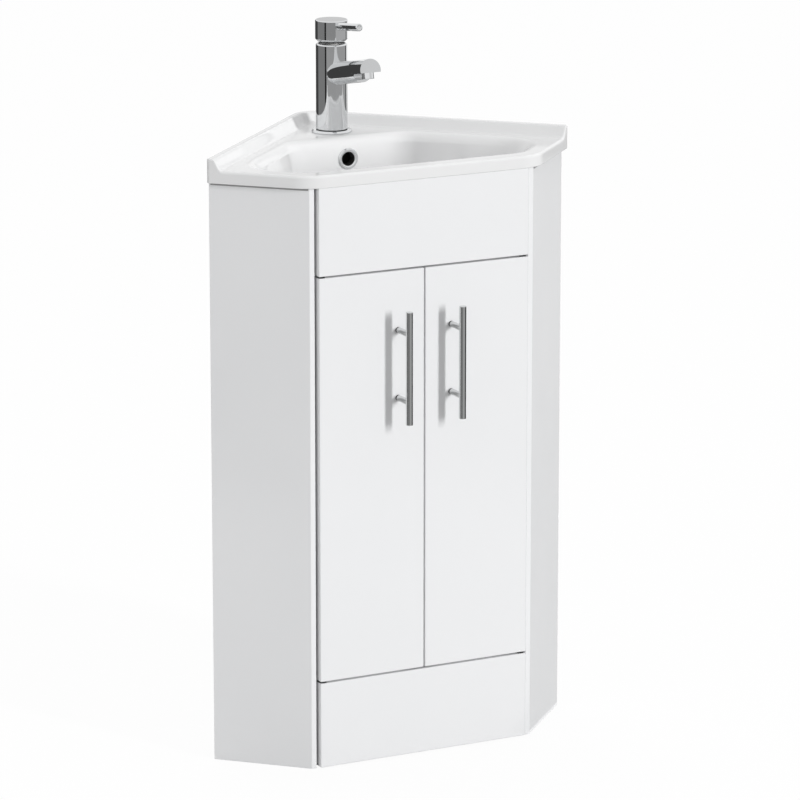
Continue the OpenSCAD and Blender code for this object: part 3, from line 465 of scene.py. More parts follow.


# %% [markdown]
# ## Handles
# Each handle is a straight bar on two posts. The bar's ends have a small chamfer that catches the light.
# A post is a shorter rod that ends in a thinner neck against the door. A black ring sits on the neck as
# painted shade: it draws the dark ring of contact shadow at the foot of the post. The bar is spun where it
# stands; a post is spun upright and then laid along Y by its matrix.

# %% Handle bars and posts
bar_soft, post_soft = 0.9, 0.35
neck_length, neck_radius, neck_gap = 3.0, 3.8, 0.05
# the black rings on the necks are painted shade: the contact shadow at the foot of each post
shade_ring_radius, shade_ring_t, door_gap = 4.25, 2.5, 0.1
for side in ("left", "right"):
    body, bar_node, posts_node = side + "_door_leaf", side + "_handle_bar", side + "_handle_posts"
    low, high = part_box(bar_node)
    middle = (low + high) / 2
    radius, half = radius_of(bar_node), height_of(bar_node) / 2
    turned_piece(side + "_bar", [(0, -half), (radius, -half), (radius, half), (0, half)], bar_soft,
                 Matrix.Translation(middle), "chrome", [bar_node], body, bright_steel)

    post_low, post_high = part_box(posts_node)
    post_radius, post_reach = radius_of(posts_node), (post_high.y - middle.y) / MM
    neck_from, shade_ring_end = post_reach - neck_length, post_reach - door_gap
    post = [(0, 0), (post_radius, 0), (post_radius, neck_from), (neck_radius, neck_from),
            (neck_radius, post_reach), (0, post_reach)]
    shade_ring = tube(neck_radius + neck_gap, shade_ring_radius, shade_ring_end - shade_ring_t, shade_ring_end)
    posts, shade_rings = [], []
    for z in (post_low.z + post_radius * MM, post_high.z - post_radius * MM):
        on_door = placed((middle.x, middle.y, z), math.radians(-90))
        posts.append(turned(post, post_soft, on_door, steps=48))
        shade_rings.append(turned(shade_ring, 0.1, on_door, steps=48))
    finish_piece(side + "_posts", joined(*posts), "chrome", [posts_node], body, bright_steel)
    finish_piece(side + "_post_painted_shade_rings", joined(*shade_rings), "rubber", (), body)

# %% [markdown]
# ## The basin
# The basin is one casting: a flat rim with a rounded edge, an upstand along both walls, and a bowl that
# flows out of the rim. It has no flat sides to start from, so it is built from closed rings, from the
# waste hole out over the rim and back under it, and neighbouring rings are bridged. Every ring has its
# points on the same rays from the waste, which keeps the faces even. Extruding and scaling one ring
# would do for a round basin, but here each ring has its own outline.
#
# The rays pass through points of the outer edge that lie about 7 mm apart, and close together at the
# two tips, where the end of the upstand needs detail.

# %% [markdown]
# ### Rounded outlines
# The basin's rim and its bowl are straight-sided plans with rounded corners. One function draws such a
# plan: at each corner it puts an arc that touches both sides. Bevels could round the finished solid
# instead, but an outline that is right from the start gives even faces.

# %% Outline helpers
def directions(points, i):
    """Unit vectors from a corner to the corner before it and to the one after it."""
    return [(points[k % len(points)] - points[i]).normalized() for k in (i - 1, i + 1)]


def rounded(points, radii, steps):
    """The closed outline through 2-D points, each corner replaced by an arc of its radius."""
    outline = []
    for i, corner in enumerate(points):
        before, after = directions(points, i)
        half = before.angle(after) / 2
        middle = corner + (before + after).normalized() * radii[i] / math.sin(half)
        start = corner + before * radii[i] / math.tan(half) - middle
        sweep = (math.pi - 2 * half) * (1 if before.cross(after) < 0 else -1)
        outline += [middle + Matrix.Rotation(sweep * k / steps, 2) @ start for k in range(steps + 1)]
    return outline


# %% Plans of the rim and the bowl
rim_side, rim_wall = 36, 44  # width of the rim beside the side edges and the walls
side_over, overhang = 9.0, 10.0  # how far the rim stands over the panels and the fronts
rim_half = corner_x + side_over * math.sqrt(2)  # x - y along the basin's side edges
wall = wall_reach / MM
waste_y = ((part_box("waste_plug")[0].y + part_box("waste_plug")[1].y) / 2 - front_y) / MM
bowl_front, bowl_back = 22.0, ((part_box("overflow_ring")[1].y - front_y) / MM - 6.0)
tip = ((wall + rim_half) / 2, (wall - rim_half) / 2)
rim_corners = [(-(rim_half - overhang), -overhang), (rim_half - overhang, -overhang), tip, (0, wall),
               (-tip[0], tip[1])]
rim_radii = [60, 60, 4, 35, 4]
floor_half, floor_back_half, floor_front = 86, 58, 100
floor_arc = 34.0  # radius between the floor and the wall


def symmetric(right):
    """The corners of the right half, and then their mirror images."""
    return right + [(-x, y) for x, y in reversed(right)]


bowl_side = rim_half - rim_side * math.sqrt(2)
bowl_wall_line = wall - rim_wall * math.sqrt(2)
bowl_corners = symmetric([(bowl_side + bowl_front, bowl_front),
                          ((bowl_side + bowl_wall_line) / 2, (bowl_wall_line - bowl_side) / 2),
                          (bowl_wall_line - bowl_back, bowl_back)])
bowl_radii = [45, 56, 45, 45, 56, 45]
floor_corners = symmetric([(floor_half, floor_front), (floor_back_half, bowl_back - floor_arc)])
print("bowl from", round(bowl_front), "to", round(bowl_back, 1), "mm behind the front edges")


def grown(corners, radii, by, steps=12):
    """The rounded outline of a plan whose sides all move out by some millimetres, in mm."""
    points = [Vector(corner) for corner in corners]
    moved = []
    for i, corner in enumerate(points):
        before, after = directions(points, i)
        moved.append(corner - (before + after).normalized() * by / math.sin(before.angle(after) / 2))
    return rounded(moved, [max(radius + by, 0.3) for radius in radii], steps)


# %% Rays from the waste
centre = Vector((0, waste_y))
edge_step, tip_step = 7.0, 1.1  # between points of the outer edge


def spaced(outline):
    """Points along an outline, close together near the two tips."""
    points = []
    for i, start in enumerate(outline):
        end = outline[(i + 1) % len(outline)]
        length = (end - start).length
        at = 0.0
        while at < length - 0.3:
            point = start.lerp(end, at / length)
            points.append(point)
            near_tip = abs(abs(point.x) - tip[0]) < 30 and point.y < tip[1] + 8
            at += tip_step if near_tip else edge_step
    return points


def reach(outline, ray):
    """How far a ray goes from the centre to an outline."""
    for i, start in enumerate(outline):
        side = outline[(i + 1) % len(outline)] - start
        gap = start - centre
        turn = ray.cross(side)
        if abs(turn) < 1e-12:
            continue
        along, part = gap.cross(side) / turn, gap.cross(ray) / turn
        if along > 0 and -1e-4 <= part <= 1 + 1e-4:
            return along
    raise ValueError("the outline doesn't go round the centre")


rays = [(point - centre).normalized() for point in spaced(grown(rim_corners, rim_radii, 0))]
print(len(rays), "rays")


def reaches(corners, radii, by):
    outline = grown(corners, radii, by)
    return [reach(outline, ray) for ray in rays]


# %% [markdown]
# ### Height of the rim
# The deck is level, and the upstand rises 16 mm beside each wall with a soft foot. Between the two walls,
# in the corner of the room, it has a small slanting face. The height of a point then depends on one
# number, its distance from the nearest of those three lines, and a soft minimum rounds the places where
# they meet.

# %% Rim height
upstand = (upstand_z - deck_z) / MM
upstand_top, upstand_foot = 10.5, 19.0  # distances from the wall
corner_facet = wall - 19.3
deck = deck_z / MM
print("upstand", round(upstand, 1), "mm over the deck")


def soft_min(values, softness):
    least = min(values)
    return least - softness * math.log(sum(math.exp((least - value) / softness) for value in values))


def rim_height(point):
    """Height of the finished rim over a point of the plan, in mm."""
    walls = [(wall - point.y - side * point.x) / math.sqrt(2) for side in (-1, 1)]
    away = soft_min(walls + [corner_facet - point.y], 1.5)
    slope = upstand * (upstand_foot - away) / (upstand_foot - upstand_top)
    return deck - soft_min([-soft_min([slope, upstand], 1.1), 0.0], 3.2)


# %% [markdown]
# ### Section of the bowl
# Along each ray the bowl has the same kind of section: a level floor, an arc up to a steep wall, the
# wall, and a wide lip that turns over into the deck. The arc ends where the wall touches it, which is
# the tangent from the wall's upper end, and the lip is one curve whose middle handle is the corner that
# it rounds off. Towards the tap, and a little at the two ends, the lip is broader, because the deck melts
# into the bowl there.

# %% Bowl section
bowl_depth = 109.0
floor_z = deck - bowl_depth
print("bowl", bowl_depth, "mm deep, its floor at", round(floor_z, 1), "mm")
lip_from = 7.0  # the wall's line ends this far under the deck


def bowl_rows(grow, arc_rows=9):
    """Rows of (distance, height) for every ray, from the level floor up to the wall's upper end."""
    inner = reaches(floor_corners, [0.3] * 4, 0.0)
    outer = reaches(floor_corners, [0.3] * 4, floor_arc + grow)
    upper = reaches(bowl_corners, bowl_radii, grow)
    middle_z = floor_z + floor_arc
    columns = []
    for near, far, top in zip(inner, outer, upper):
        width, height = far - near, floor_arc + grow
        u, w = (top - near) / width, (deck - lip_from - middle_z) / height
        touch = math.atan2(w, u) - math.acos(1 / math.hypot(u, w)) + math.pi / 2
        column = []
        for row in range(arc_rows):
            turn = touch * row / (arc_rows - 1)
            column.append((near + width * math.sin(turn), middle_z - height * math.cos(turn)))
        column.append((top, deck - lip_from))
        columns.append(column)
    return columns


def lip_rows(column, ray, rows=10):
    """The lip of one ray: from its wall over to the deck."""
    (x0, z0), (x1, z1) = column[-2], column[-1]
    behind = max(0.0, ray.y) ** 2
    beside = ray.x ** 2
    down, out = 7.5 + 9.0 * behind + 5.0 * beside, 7.0 + 8.0 * behind + 3.0 * beside
    slope = (x1 - x0) / (z1 - z0)
    corner = x1 + slope * lip_from
    start = (corner - slope * down, deck - down)
    curve = []
    for row in range(rows + 1):
        t = row / rows
        a, b, c = (1 - t) ** 2, 2 * t * (1 - t), t * t
        curve.append((a * start[0] + b * corner + c * (corner + out), a * start[1] + (b + c) * deck))
    return curve


# %% [markdown]
# ### Rings
# Now the rings are laid one after another: waste hole, recess for the waste's flange, floor, wall, lip,
# deck, upstand, rounded outer edge, underside, outer side of the bowl and the boss round the waste. Each
# pair is joined with bridge_loops, which matches the points of two closed loops.

# %% Basin rings
recess_r, recess_depth, hole_r = 32.5, 2.0, 21.0
boss_r, boss_z, shell = 37.0, (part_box("waste_backnut")[1].z) / MM, 9.0
rim_z = rim_bottom / MM
bowl = bowl_rows(0.0)
shell_columns = bowl_rows(shell)
lips = [lip_rows(column, ray) for column, ray in zip(bowl, rays)]
rings = []


def add_ring(distances, heights):
    """A ring's distance and height on every ray; one number stands for all the rays."""
    both = [value if isinstance(value, list) else [value] * len(rays) for value in (distances, heights)]
    points = [(centre + ray * d, h) for ray, d, h in zip(rays, *both)]
    rings.append([(p.x * MM, front_y + p.y * MM, h * MM) for p, h in points])


def rim_reaches(inset):
    """Distances of the outer edge, moved in by some millimetres."""
    return reaches(rim_corners, rim_radii, -inset)


add_ring(hole_r, boss_z)
add_ring(hole_r, floor_z - recess_depth)
add_ring(recess_r, floor_z - recess_depth)
add_ring(recess_r, floor_z - 0.6)
add_ring(recess_r + 0.5, floor_z)
for row in range(1, len(bowl[0]) - 1):
    add_ring([max(c[row][0], recess_r + 0.5 + 0.2 * row) for c in bowl], [c[row][1] for c in bowl])
for row in range(len(lips[0])):
    add_ring([lip[row][0] for lip in lips], [lip[row][1] for lip in lips])

edge_insets = [22 - 1.1 * k for k in range(17)] + [3.6, 2.8, 2.1, 1.4, 0.8, 0.4, 0.1, 0.0]
edge_radius, upstand_less = 4.0, 2.2  # the upstand's edge is that much sharper
lip_edge = [lip[-1][0] for lip in lips]
halfway = [a + (max(b, a + 0.4) - a) * 0.5 for a, b in zip(lip_edge, rim_reaches(edge_insets[0]))]
add_ring(halfway, [rim_height(centre + ray * d) for ray, d in zip(rays, halfway)])
for inset in edge_insets:
    least = 0.5 + 0.02 * (edge_insets[0] - inset)  # the rings stay apart where the lip is near
    distances = [max(d, a + least) for d, a in zip(rim_reaches(inset), lip_edge)]
    heights = []
    for ray, d in zip(rays, distances):
        height = rim_height(centre + ray * d)
        radius = edge_radius - upstand_less * min(1.0, (height - deck) / upstand)
        gap = max(0.0, radius - inset)
        heights.append(height - (radius - math.sqrt(radius ** 2 - gap ** 2)))
    add_ring(distances, heights)
under_edge = 1.2  # a larger one makes the Boolean below fail
for inset, up in ((0, 1), (0.35, 0.35), (1, 0)):
    add_ring(rim_reaches(inset * under_edge), rim_z + up * under_edge)
add_ring([c[-1][0] + 5 for c in shell_columns], rim_z)
add_ring([c[-1][0] - 0.5 for c in shell_columns], rim_z - 3)
for row in range(len(shell_columns[0]) - 2, 0, -1):
    add_ring([max(c[row][0], boss_r + 1 + 0.2 * row) for c in shell_columns],
             [c[row][1] for c in shell_columns])
add_ring(boss_r + 1, floor_z - shell)
add_ring(boss_r, floor_z - shell - 1)
add_ring(boss_r, boss_z)
print(len(rings), "rings of", len(rays), "points")

# %% Bridge the rings
def lofted(sections, closed=False):
    """A bmesh in which each closed loop of points is bridged to the next; and the loops' edges."""
    bm = bmesh.new()
    loops = []
    for section in sections:
        verts = [bm.verts.new(point) for point in section]
        loops.append([bm.edges.new((verts[i - 1], verts[i])) for i in range(len(verts))])
    for loop, following in zip(loops, loops[1:] + (loops[:1] if closed else [])):
        bmesh.ops.bridge_loops(bm, edges=loop + following)
    return bm, loops


basin_form, _ = lofted(rings, closed=True)
bmesh.ops.recalc_face_normals(basin_form, faces=basin_form.faces)
basin_crease = 50
basin = finish_piece("glazed_basin", basin_form, "basin", ["basin"], crease=basin_crease)

# %% [markdown]
# ### The overflow hole
# The hole through the bowl's back wall is drilled last. A Boolean modifier does this cleanly on the
# finished form; leaving the hole open in the rings would bend every ring round it.

# %% Drill the overflow
ring_low, ring_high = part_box("overflow_ring")
overflow_z = (ring_low.z + ring_high.z) / 2
drill_r, drill_from, drill_to = 11, -8, 22
drill_place = placed((0, ring_low.y, overflow_z), math.radians(-90))
drill_form = turned([(0, drill_from), (drill_r, drill_from), (drill_r, drill_to), (0, drill_to)], 0.01,
                    drill_place, steps=40)
bmesh.ops.recalc_face_normals(drill_form, faces=drill_form.faces)
drill = new_object("drill", drill_form)
cut = basin.modifiers.new("overflow", "BOOLEAN")
cut.operation, cut.solver, cut.object = "DIFFERENCE", "EXACT", drill
drilled = bpy.data.meshes.new_from_object(basin.evaluated_get(bpy.context.evaluated_depsgraph_get()))
basin.modifiers.remove(cut)
basin.data = drilled
shade(basin.data, basin_crease)
bpy.data.objects.remove(drill)
print("basin after drilling:", len(basin.data.polygons), "faces")

# %% [markdown]
# ### Inside the overflow duct
# The duct behind the bowl is glazed outside. Its inside is painted shade: the inner walls are coloured black,
# so the overflow shows as a black hole. Its finish is chosen by place: a box in Object coordinates that holds
# the inner walls is black, and all outside it is glaze. A black plastic sleeve joins the ring to the duct; its
# black also stands as painted shade in the bore.

# %% Node helpers
def computed(owner, kind, operation, *inputs):
    """A math node on sockets and plain values; returns its output."""
    node = new_node(owner, kind)
    node.operation = operation
    for at, value in enumerate(inputs):
        if isinstance(value, bpy.types.NodeSocket):
            join(value, node.inputs[at])
        else:
            node.inputs[at].default_value = value
    return node.outputs[0]


def largest_of(owner, sockets):
    largest = sockets[0]
    for socket in sockets[1:]:
        largest = computed(owner, "Math", "MAXIMUM", largest, socket)
    return largest


# %% Duct finish, with painted shade inside
duct_low, duct_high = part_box("overflow_duct")
duct_wall, duct_inside = 1.5 * MM, 12.5 * MM
inner_low = Vector((duct_low.x + duct_wall, duct_high.y - duct_inside, duct_low.z + duct_wall))
inner_high = duct_high - Vector((1.5, 1.5, 1.5)) * MM
glaze_color = (0.84, 0.842, 0.845)
duct_glaze_and_shade_finish = new_finish("duct_glaze_and_painted_shade", glaze_color, 0.12)
from_middle = computed(duct_glaze_and_shade_finish, "VectorMath", "SUBTRACT",
                       new_node(duct_glaze_and_shade_finish, "TexCoord").outputs["Object"], (inner_low + inner_high) / 2)
share = computed(duct_glaze_and_shade_finish, "VectorMath", "DIVIDE", from_middle, (inner_high - inner_low) / 2)
axes = new_node(duct_glaze_and_shade_finish, "SeparateXYZ")
join(computed(duct_glaze_and_shade_finish, "VectorMath", "ABSOLUTE", share), axes.inputs[0])
painted_shade_inside = computed(duct_glaze_and_shade_finish, "Math", "LESS_THAN", largest_of(duct_glaze_and_shade_finish, axes.outputs[:]), 1.0)
# painted shade: the duct's inner walls are coloured black
color_from(duct_glaze_and_shade_finish, painted_shade_inside, glaze_color, grey(0.02))
add_bump(duct_glaze_and_shade_finish, 0.05, 0.0001, detail=1)
frame["nodes"]["overflow_duct"].data.materials[0] = duct_glaze_and_shade_finish

# %% Overflow sleeve
ring_seat = placed((0, ring_high.y - 6 * MM, overflow_z), math.radians(90))
turned_piece("overflow_sleeve", tube(9.6, 9.95, -12.5, 1.0), 0.1, ring_seat, "rubber")

# %% [markdown]
# ## Overflow ring and waste
# A pressed chrome ring lines the overflow, with a sloping rim. In the floor of the bowl sits the waste:
# a flat flange, and the domed cap of the push plug on its stem.

# %% Turned fittings of the bowl
turned_piece("overflow_trim", [
    (10.0, -6), (10.9, -6), (10.9, 0), (15.5, 0), (15.5, 0.8), (13.9, 2.4), (11.6, 2.4), (10.0, 1.4),
    (10.0, -6)], 0.25, ring_seat, "chrome", ["overflow_ring"])

cap_h, cap_r, stem_r = 5.0, radius_of("waste_plug"), 4.0
stem = height_of("waste_plug") - cap_h
under_cap = Matrix.Translation((0, front_y + waste_y * MM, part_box("waste_plug")[1].z - cap_h * MM))
turned_piece("push_plug", [
    (0, -stem), (stem_r, -stem), (stem_r, 0), (cap_r, 0), (cap_r, 2.5), (cap_r - 4, 4),
    (cap_r * 0.5, 4.7), (0, cap_h)], 0.6, under_cap, "chrome", ["waste_plug"], "plug_body")

# %% [markdown]
# ## The tap
# The tap is a tall column with a turning head, a round spout that leaves the column at a slight rise, and a
# thin lever in the head. All of it is chrome, so each form is judged by its reflections: straight streaks down
# the column, and a fine bright line at every softened edge. A thin black ring under the column is painted
# shade: it draws the dark line of the gap's shade above the base ring.

# %% Column, base ring and head
low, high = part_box("tap_column")
tap_x, tap_y, column_foot = 0.0, (low.y + high.y) / 2, low.z


def on_tap(z):
    """The place on the tap's axis at height z."""
    return Matrix.Translation((tap_x, tap_y, z))


column_r, column_h = radius_of("tap_column"), height_of("tap_column")
mouth_r, mouth_depth, mouth_edge = column_r - 3, 14.5, 1.6
column_shade_ring_h = 1.0
turned_piece("column_shell", [
    (10, column_shade_ring_h), (column_r, column_shade_ring_h), (column_r, column_h - mouth_edge),
    (column_r - mouth_edge, column_h), (mouth_r, column_h), (mouth_r, column_h - mouth_depth),
    (15.2, column_h - mouth_depth)], 0.3, on_tap(column_foot), "chrome", ["tap_column"], steps=96)
# painted shade: a black ring for the dark line above the base ring
turned_piece("column_painted_shade_ring", tube(12, column_r - 0.3, 0, column_shade_ring_h), 0.1, on_tap(column_foot), "rubber",
             steps=96)

ring_r, ring_h = radius_of("tap_base_ring"), height_of("tap_base_ring")
turned_piece("base_collar", [
    (16.5, 0), (ring_r, 0), (ring_r, ring_h - 2), (ring_r - 2, ring_h), (16.5, ring_h), (16.5, 0)],
    0.6, on_tap(deck_z), "chrome", ["tap_base_ring"], steps=96)

head_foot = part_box("tap_head")[0].z
head_r, head_h = radius_of("tap_head"), height_of("tap_head")
head_chamfer, head_wall, head_roof = 5.0, 3.2, 4
turned_piece("head_shell", [
    (0, head_h), (head_r - 1, head_h), (head_r, head_h - 1), (head_r, head_chamfer),
    (head_r - head_chamfer, 0), (head_r - head_chamfer - 2.4, 0), (head_r - head_wall, head_chamfer + 2),
    (head_r - head_wall, head_h - head_roof), (0, head_h - head_roof)],
    0.35, on_tap(head_foot), "chrome", ["tap_head"], "tap_head_body", steps=96)

# %% [markdown]
# ### Dust seal
# The head tilts, so there is a slot between it and the column. Through it one sees a plastic dust seal
# round the cartridge's stem, in shade, as a thin dark line. Its disc lies deep enough in the column's
# mouth for the head's rear edge to dip over it, and its collar hugs the stem up into the head.

# %% Dust seal
seal_depth = 5.0
collar_in, collar_out, collar_h = 8.3, 9.1, 8
turned_piece("dust_seal", [
    (collar_in, -1.5), (mouth_r - 0.1, -1.5), (mouth_r - 0.1, 0), (9.6, 0.6), (collar_out, collar_h),
    (collar_in, collar_h), (collar_in, -1.5)],
    0.3, on_tap(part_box("tap_column")[1].z - seal_depth * MM), "rubber", material=moulded_plastic)

# %% [markdown]
# ### Lever
# The lever is a plain rod with a chamfered end. It starts inside the head, because its root must follow
# the head's round wall, and a rod that simply passes through it gives exactly that line.

# %% Lever
lever_r, lever_rise, lever_out = radius_of("tap_lever"), math.radians(7), 65.0
lever_z = head_h - 10
on_lever = placed((tap_x, tap_y, head_foot + lever_z * MM), math.pi / 2 - lever_rise)
lever_end, lever_edge, lever_dish = head_r + lever_out, 0.9, 0.3
turned_piece("lever_rod", [
    (0, head_r - head_wall), (lever_r, head_r - head_wall), (lever_r, lever_end - lever_edge),
    (lever_r - lever_edge, lever_end), (lever_r - 2.2, lever_end), (lever_r - 2.8, lever_end - lever_dish),
    (0, lever_end - lever_dish)], 0.25, on_lever, "chrome", ["tap_lever"], "tap_head_body")

# %% [markdown]
# ### Spout
# The spout is a tube whose end is cut away underneath, so that it shows a D-shaped face, with a hollow
# curve where the cut starts. It is lofted: each section is the part of a circle above a flat, with as
# many points round the arc and along the flat in every section, and the sections are bridged. The sharp
# edges then get a bevel of half a millimetre. Cutting a cylinder with a Boolean would leave long thin
# faces that shade badly on chrome.

# %% Spout
spout_r, spout_rise, spout_reach = 16.0, math.radians(11), 122.0
spout_len = spout_reach / math.cos(spout_rise)
flat_y, cove_r, flat_len = -3.4, 8.0, 27.0
spout_z = column_h - 44.0
on_spout = placed((tap_x, tap_y, column_foot + spout_z * MM), math.pi / 2 - spout_rise)
arc_points, flat_points = 48, 20


def spout_section(z, cut_y, cut):
    """One section: the arc above cut_y, then the flat, or the rest of the circle where nothing is cut."""
    side = math.asin(cut_y / spout_r)
    turns = [side + (math.pi - 2 * side) * i / arc_points for i in range(arc_points + 1)]
    if not cut:
        turns += [math.pi - side + (math.pi + 2 * side) * i / flat_points for i in range(1, flat_points)]
    points = [(spout_r * math.cos(turn), spout_r * math.sin(turn)) for turn in turns]
    if cut:
        half = spout_r * math.cos(side)
        points += [(-half + 2 * half * i / flat_points, cut_y) for i in range(1, flat_points)]
    return [Vector((x, y, z)) * MM for x, y in points]


cut_from = spout_len - flat_len
cove_y = flat_y - cove_r
spout_from, round_spans, cove_spans = 12, 12, 8  # it starts 12 mm from the axis, inside the column
sections = [spout_section(spout_from + (cut_from - spout_from) * i / round_spans, cove_y, False)
            for i in range(round_spans + 1)]
for i in range(cove_spans + 1):
    turn = math.pi / 2 * i / cove_spans
    sections.append(spout_section(cut_from + cove_r * (1 - math.cos(turn)), cove_y + cove_r * math.sin(turn),
                                  True))
sections.append(spout_section(spout_len, flat_y, True))
spout_form, loops = lofted(sections)
for end in (loops[0], loops[-1]):
    bmesh.ops.contextual_create(spout_form, geom=end)
round_edges(spout_form, 0.5 * MM, 2, 35)
bmesh.ops.transform(spout_form, matrix=on_spout, verts=spout_form.verts)
finish_piece("spout_tube", spout_form, "chrome", ["spout"])

# %% [markdown]
# ### Nozzle
# Under the spout's end sits a short round nozzle. From below one sees the strainer in it, a recessed disc
# with fine rings.

# %% Nozzle
nozzle_r, nozzle_h, nozzle_back, strainer_up = 8.8, 9.0, 10.0, 2.0
strainer_z, strainer_r = nozzle_h - strainer_up, nozzle_r - 2.2
nozzle = [(0, strainer_z)]
for ridge in range(5):
    radius = 0.6 + 1.25 * ridge
    nozzle += [(radius, strainer_z), (radius + 0.3, strainer_z + 0.5), (radius + 0.6, strainer_z)]
nozzle += [(strainer_r, strainer_z), (strainer_r, nozzle_h - 0.4), (nozzle_r - 1.8, nozzle_h),
           (nozzle_r - 0.6, nozzle_h), (nozzle_r, nozzle_h - 0.6), (nozzle_r, -1), (0, -1)]
under_spout = on_spout @ placed((0, flat_y * MM, (spout_len - nozzle_back) * MM), math.pi / 2)
turned_piece("nozzle_body", nozzle, 0.12, under_spout, "chrome", ["nozzle"])

# %% [markdown]
# ## Floor, light and camera
# The floor is pale and takes the unit's shadow. For the camera, and in reflections, most of its
# brightness is its own, so it shows as plain white; for the light that it throws back at the unit it is
# an ordinary grey-white surface.

# %% Floor
def seen(owner):
    """1 where a surface is looked at, by the camera, in a mirror or through glass, and otherwise 0."""
    path = new_node(owner, "LightPath")
    return largest_of(owner, [path.outputs[name] for name in
                              ("Is Camera Ray", "Is Glossy Ray", "Is Transmission Ray")])


def times(owner, socket, factor, plus=0.0):
    return computed(owner, "Math", "MULTIPLY_ADD", socket, factor, plus)


def bare_material(name):
    """A material with an empty node tree, and its surface socket."""
    material = bpy.data.materials.new(name)
    material.use_nodes = True
    material.node_tree.nodes.clear()
    return material, new_node(material, "OutputMaterial").inputs["Surface"]


def square(half_size, place=Matrix()):
    """A bmesh of one level face."""
    bm = bmesh.new()
    bmesh.ops.create_grid(bm, x_segments=1, y_segments=1, size=half_size)
    bmesh.ops.transform(bm, matrix=place, verts=bm.verts)
    return bm


studio_floor = new_object("studio_floor", square(30))
floor_paint, floor_surface = bare_material("floor_paint")
diffuse, glow, mix = (new_node(floor_paint, kind) for kind in ("BsdfDiffuse", "Emission", "MixShader"))
glow.inputs["Strength"].default_value = 1.0
floor_seen = seen(floor_paint)
own_share = 0.94  # how much of what one sees is the floor's own brightness
grey_lit, white_seen = 0.46, 0.52  # its value for light, and what is added where it is seen
join(times(floor_paint, floor_seen, own_share), mix.inputs["Fac"])
join(times(floor_paint, floor_seen, white_seen, grey_lit), diffuse.inputs["Color"])
join(diffuse.outputs[0], mix.inputs[1])
join(glow.outputs[0], mix.inputs[2])
join(mix.outputs[0], floor_surface)
studio_floor.data.materials.append(floor_paint)
print("floor: value", grey_lit, "for light,", own_share, "of what one sees is its own")

# %% World
world = bpy.data.worlds.new("white_studio")
bpy.context.scene.world = world
world.use_nodes = True
background = world.node_tree.nodes["Background"]
background.inputs["Color"].default_value = (1, 1, 1, 1)
sky_light = 0.47  # strength as a light; where it is seen it is 1
join(times(world, seen(world), 1 - sky_light, sky_light), background.inputs["Strength"])
print("sky: strength", sky_light, "as a light, 1 where it is seen")

# %% [markdown]
# The key light stands to the right and above, which the shadows of the handles tell: they fall to the left
# and slightly down, softer at their ends than at their sides, so the lamp is taller than it is wide. It
# stands far off, so that it lights the whole height evenly. A weak fill on the left keeps the edges that
# face it from going dark. A third, very wide light comes from above and a little behind. It lights the
# deck more than the walls of the bowl that one sees, which gives the bowl its depth.

# %% Lamps
key_side, key_up = math.radians(23.2), math.radians(14.3)
key_from = Vector((math.sin(key_side) * math.cos(key_up), -math.cos(key_side) * math.cos(key_up),
                   math.sin(key_up)))


def hang(name, lamp, direction, distance):
    """A lamp in the scene, on a line from the unit's middle, looking back along it."""
    holder = bpy.data.objects.new(name, lamp)
    holder.location = Vector((0, 0, 0.45)) + direction * distance
    holder.rotation_euler = direction.to_track_quat("Z", "Y").to_euler()
    holder.visible_glossy = False
    bpy.context.collection.objects.link(holder)
    print("lamp", name, "at", [round(value, 2) for value in holder.location])


for name, width, height, power, direction, distance in (
        ("key", 1.6, 8.0, 2390, key_from, 20.0), ("fill", 2.0, 0.8, 50, Vector((-1, 0, 0)), 6.0)):
    lamp = bpy.data.lights.new(name, "AREA")
    lamp.shape, lamp.size, lamp.size_y, lamp.energy = "RECTANGLE", width, height, power
    hang(name, lamp, direction, distance)
overhead = bpy.data.lights.new("overhead", "SUN")
overhead.angle, overhead.energy = math.radians(60), 1.05
hang("overhead", overhead, Vector((0.08, 0.5, 0.87)).normalized(), 3.0)

# %% [markdown]
# Chrome in an all-white room looks white. Photographers stand grey and black cards round it, out of the
# picture, and so does this scene: the cards show only in reflections.

# %% Cards
camera_side = math.radians(-27.28)  # the camera stands this far left of straight ahead


def reflect_only(name, bm, strength):
    """The bmesh as a card of that brightness that nothing but reflections sees."""
    paper, surface = bare_material(name)
    glow = new_node(paper, "Emission")
    glow.inputs["Strength"].default_value = strength
    join(glow.outputs[0], surface)
    thing = new_object(name, bm)
    thing.data.materials.append(paper)
    for kind in ("camera", "diffuse", "transmission", "volume_scatter", "shadow"):
        setattr(thing, "visible_" + kind, False)
    print("card", name, "brightness", strength)


def card(name, start, end, z0, z1, strength, distance=1.7):
    """An upright curved card that only reflections see, between two angles right of the camera."""
    bm = bmesh.new()
    steps = max(1, int((end - start) / 6))
    foot = []
    for i in range(steps + 1):
        turn = camera_side + math.radians(start + (end - start) * i / steps)
        foot.append(bm.verts.new((distance * math.sin(turn), tap_y - distance * math.cos(turn), z0)))
    base = [bm.edges.new(pair) for pair in zip(foot, foot[1:])]
    grown_up = bmesh.ops.extrude_edge_only(bm, edges=base)
    bmesh.ops.translate(bm, verts=[v for v in grown_up["geom"] if isinstance(v, bmesh.types.BMVert)],
                        vec=(0, 0, z1 - z0))
    reflect_only(name, bm, strength)


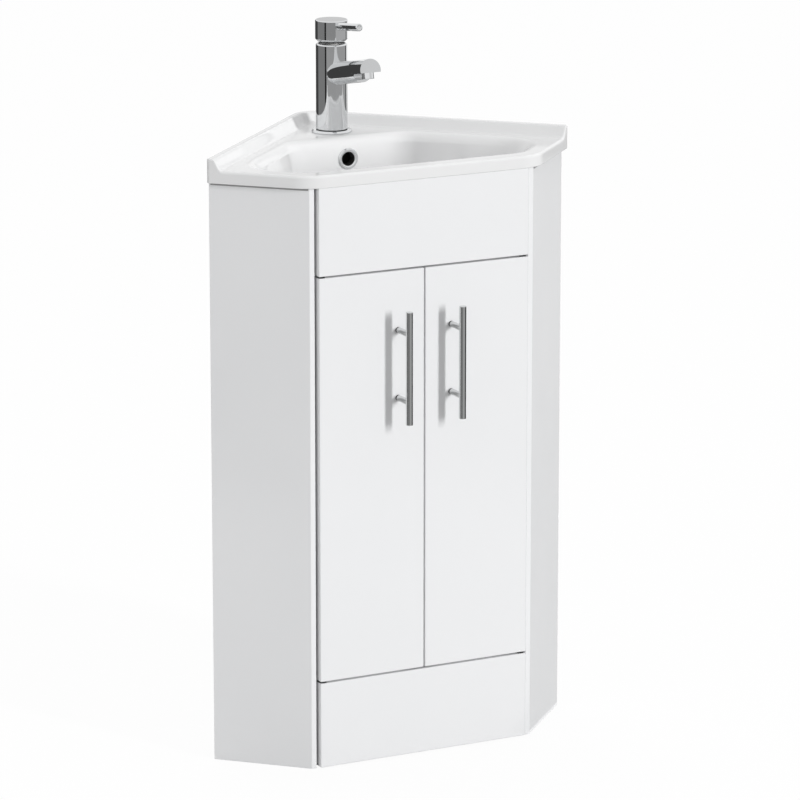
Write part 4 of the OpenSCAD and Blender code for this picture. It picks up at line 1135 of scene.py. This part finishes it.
# name, first and last angle right of the camera in degrees, foot and top in metres, brightness
for name, start, end, z0, z1, strength in (
        ("black_card_back_left", -165, -112, 0.05, 1.42, 0.06),
        ("grey_card_left", -112, -49, 0.4, 0.98, 0.24),
        ("black_card_left", -49, -37, 0.4, 0.98, 0.02),
        ("low_card_middle", -37, 30, 0.4, 0.695, 0.39),
        ("high_card_middle", -37, 30, 0.695, 0.98, 0.31),
        ("low_card_right", 30, 120, 0.4, 0.695, 0.4),
        ("high_card_right", 30, 120, 0.695, 0.98, 0.5),
        ("face_card", 30, 75, 0.98, 1.5, 0.78),
        ("top_card", 175, 185, 1.22, 1.5, 0.7),
        ("black_card_back_right", 134, 158, 0.51, 0.56, 0.03),
        ("black_card_edge", 120, 134, 0.51, 0.98, 0.03),
        ("left_card_by_handles", -87, -42, 0.02, 0.4, 0.05),
        ("mid_card_by_handles", -42, 14, 0.02, 0.4, 0.24),
        ("pale_card_by_handles", 14, 68, 0.02, 0.4, 0.45),
        ("right_card_by_handles", 68, 116, 0.02, 0.4, 0.03)):
    card(name, start, end, z0, z1, strength)

# %% [markdown]
# More cards lie on the floor. Two are beside and behind the unit's right side, which is seen at a grazing
# angle and mirrors the floor strongly, right down to its foot. The third is behind on the left, for the
# undersides of the spout and the lever.

# %% Lying cards
foot = plan((corner_x + wall_x) / 2, wall_y / 2)  # middle of the right side's foot
card_z = 0.004  # they lie just above the floor
for name, x, y, half_size, turn, strength in (
        ("dark_card_lying", 2.35, 1.6, 2.0, 0, 0.27),
        ("dark_card_by_side", foot.x + 0.135, foot.y - 0.078, 0.15, 45, 0.27),
        ("black_card_lying", -1.1, 1.9, 0.6, 0, 0.06)):
    lying = placed((x, y, card_z), math.radians(turn), "Z")
    reflect_only(name, square(half_size, lying), strength)

# %% [markdown]
# ### Camera
# The camera stands to the left of the unit, above it and far off, and looks a little down through a long
# lens. Its place comes from a fit to the edges of the unit in the photograph.

# %% Camera
camera = bpy.data.objects.new("camera", bpy.data.cameras.new("camera"))
camera.location = (-2.9061, -5.7337, 2.0540)
camera.rotation_euler = (math.radians(90 - 13.80), 0, camera_side)
camera.data.lens = 209.69
camera.data.sensor_width = 36
camera.data.clip_end = 100
bpy.context.collection.objects.link(camera)
bpy.context.scene.camera = camera
bpy.context.scene.view_settings.view_transform = "Standard"
print("camera", round(camera.location.length, 2), "m from the foot, lens", round(camera.data.lens), "mm")
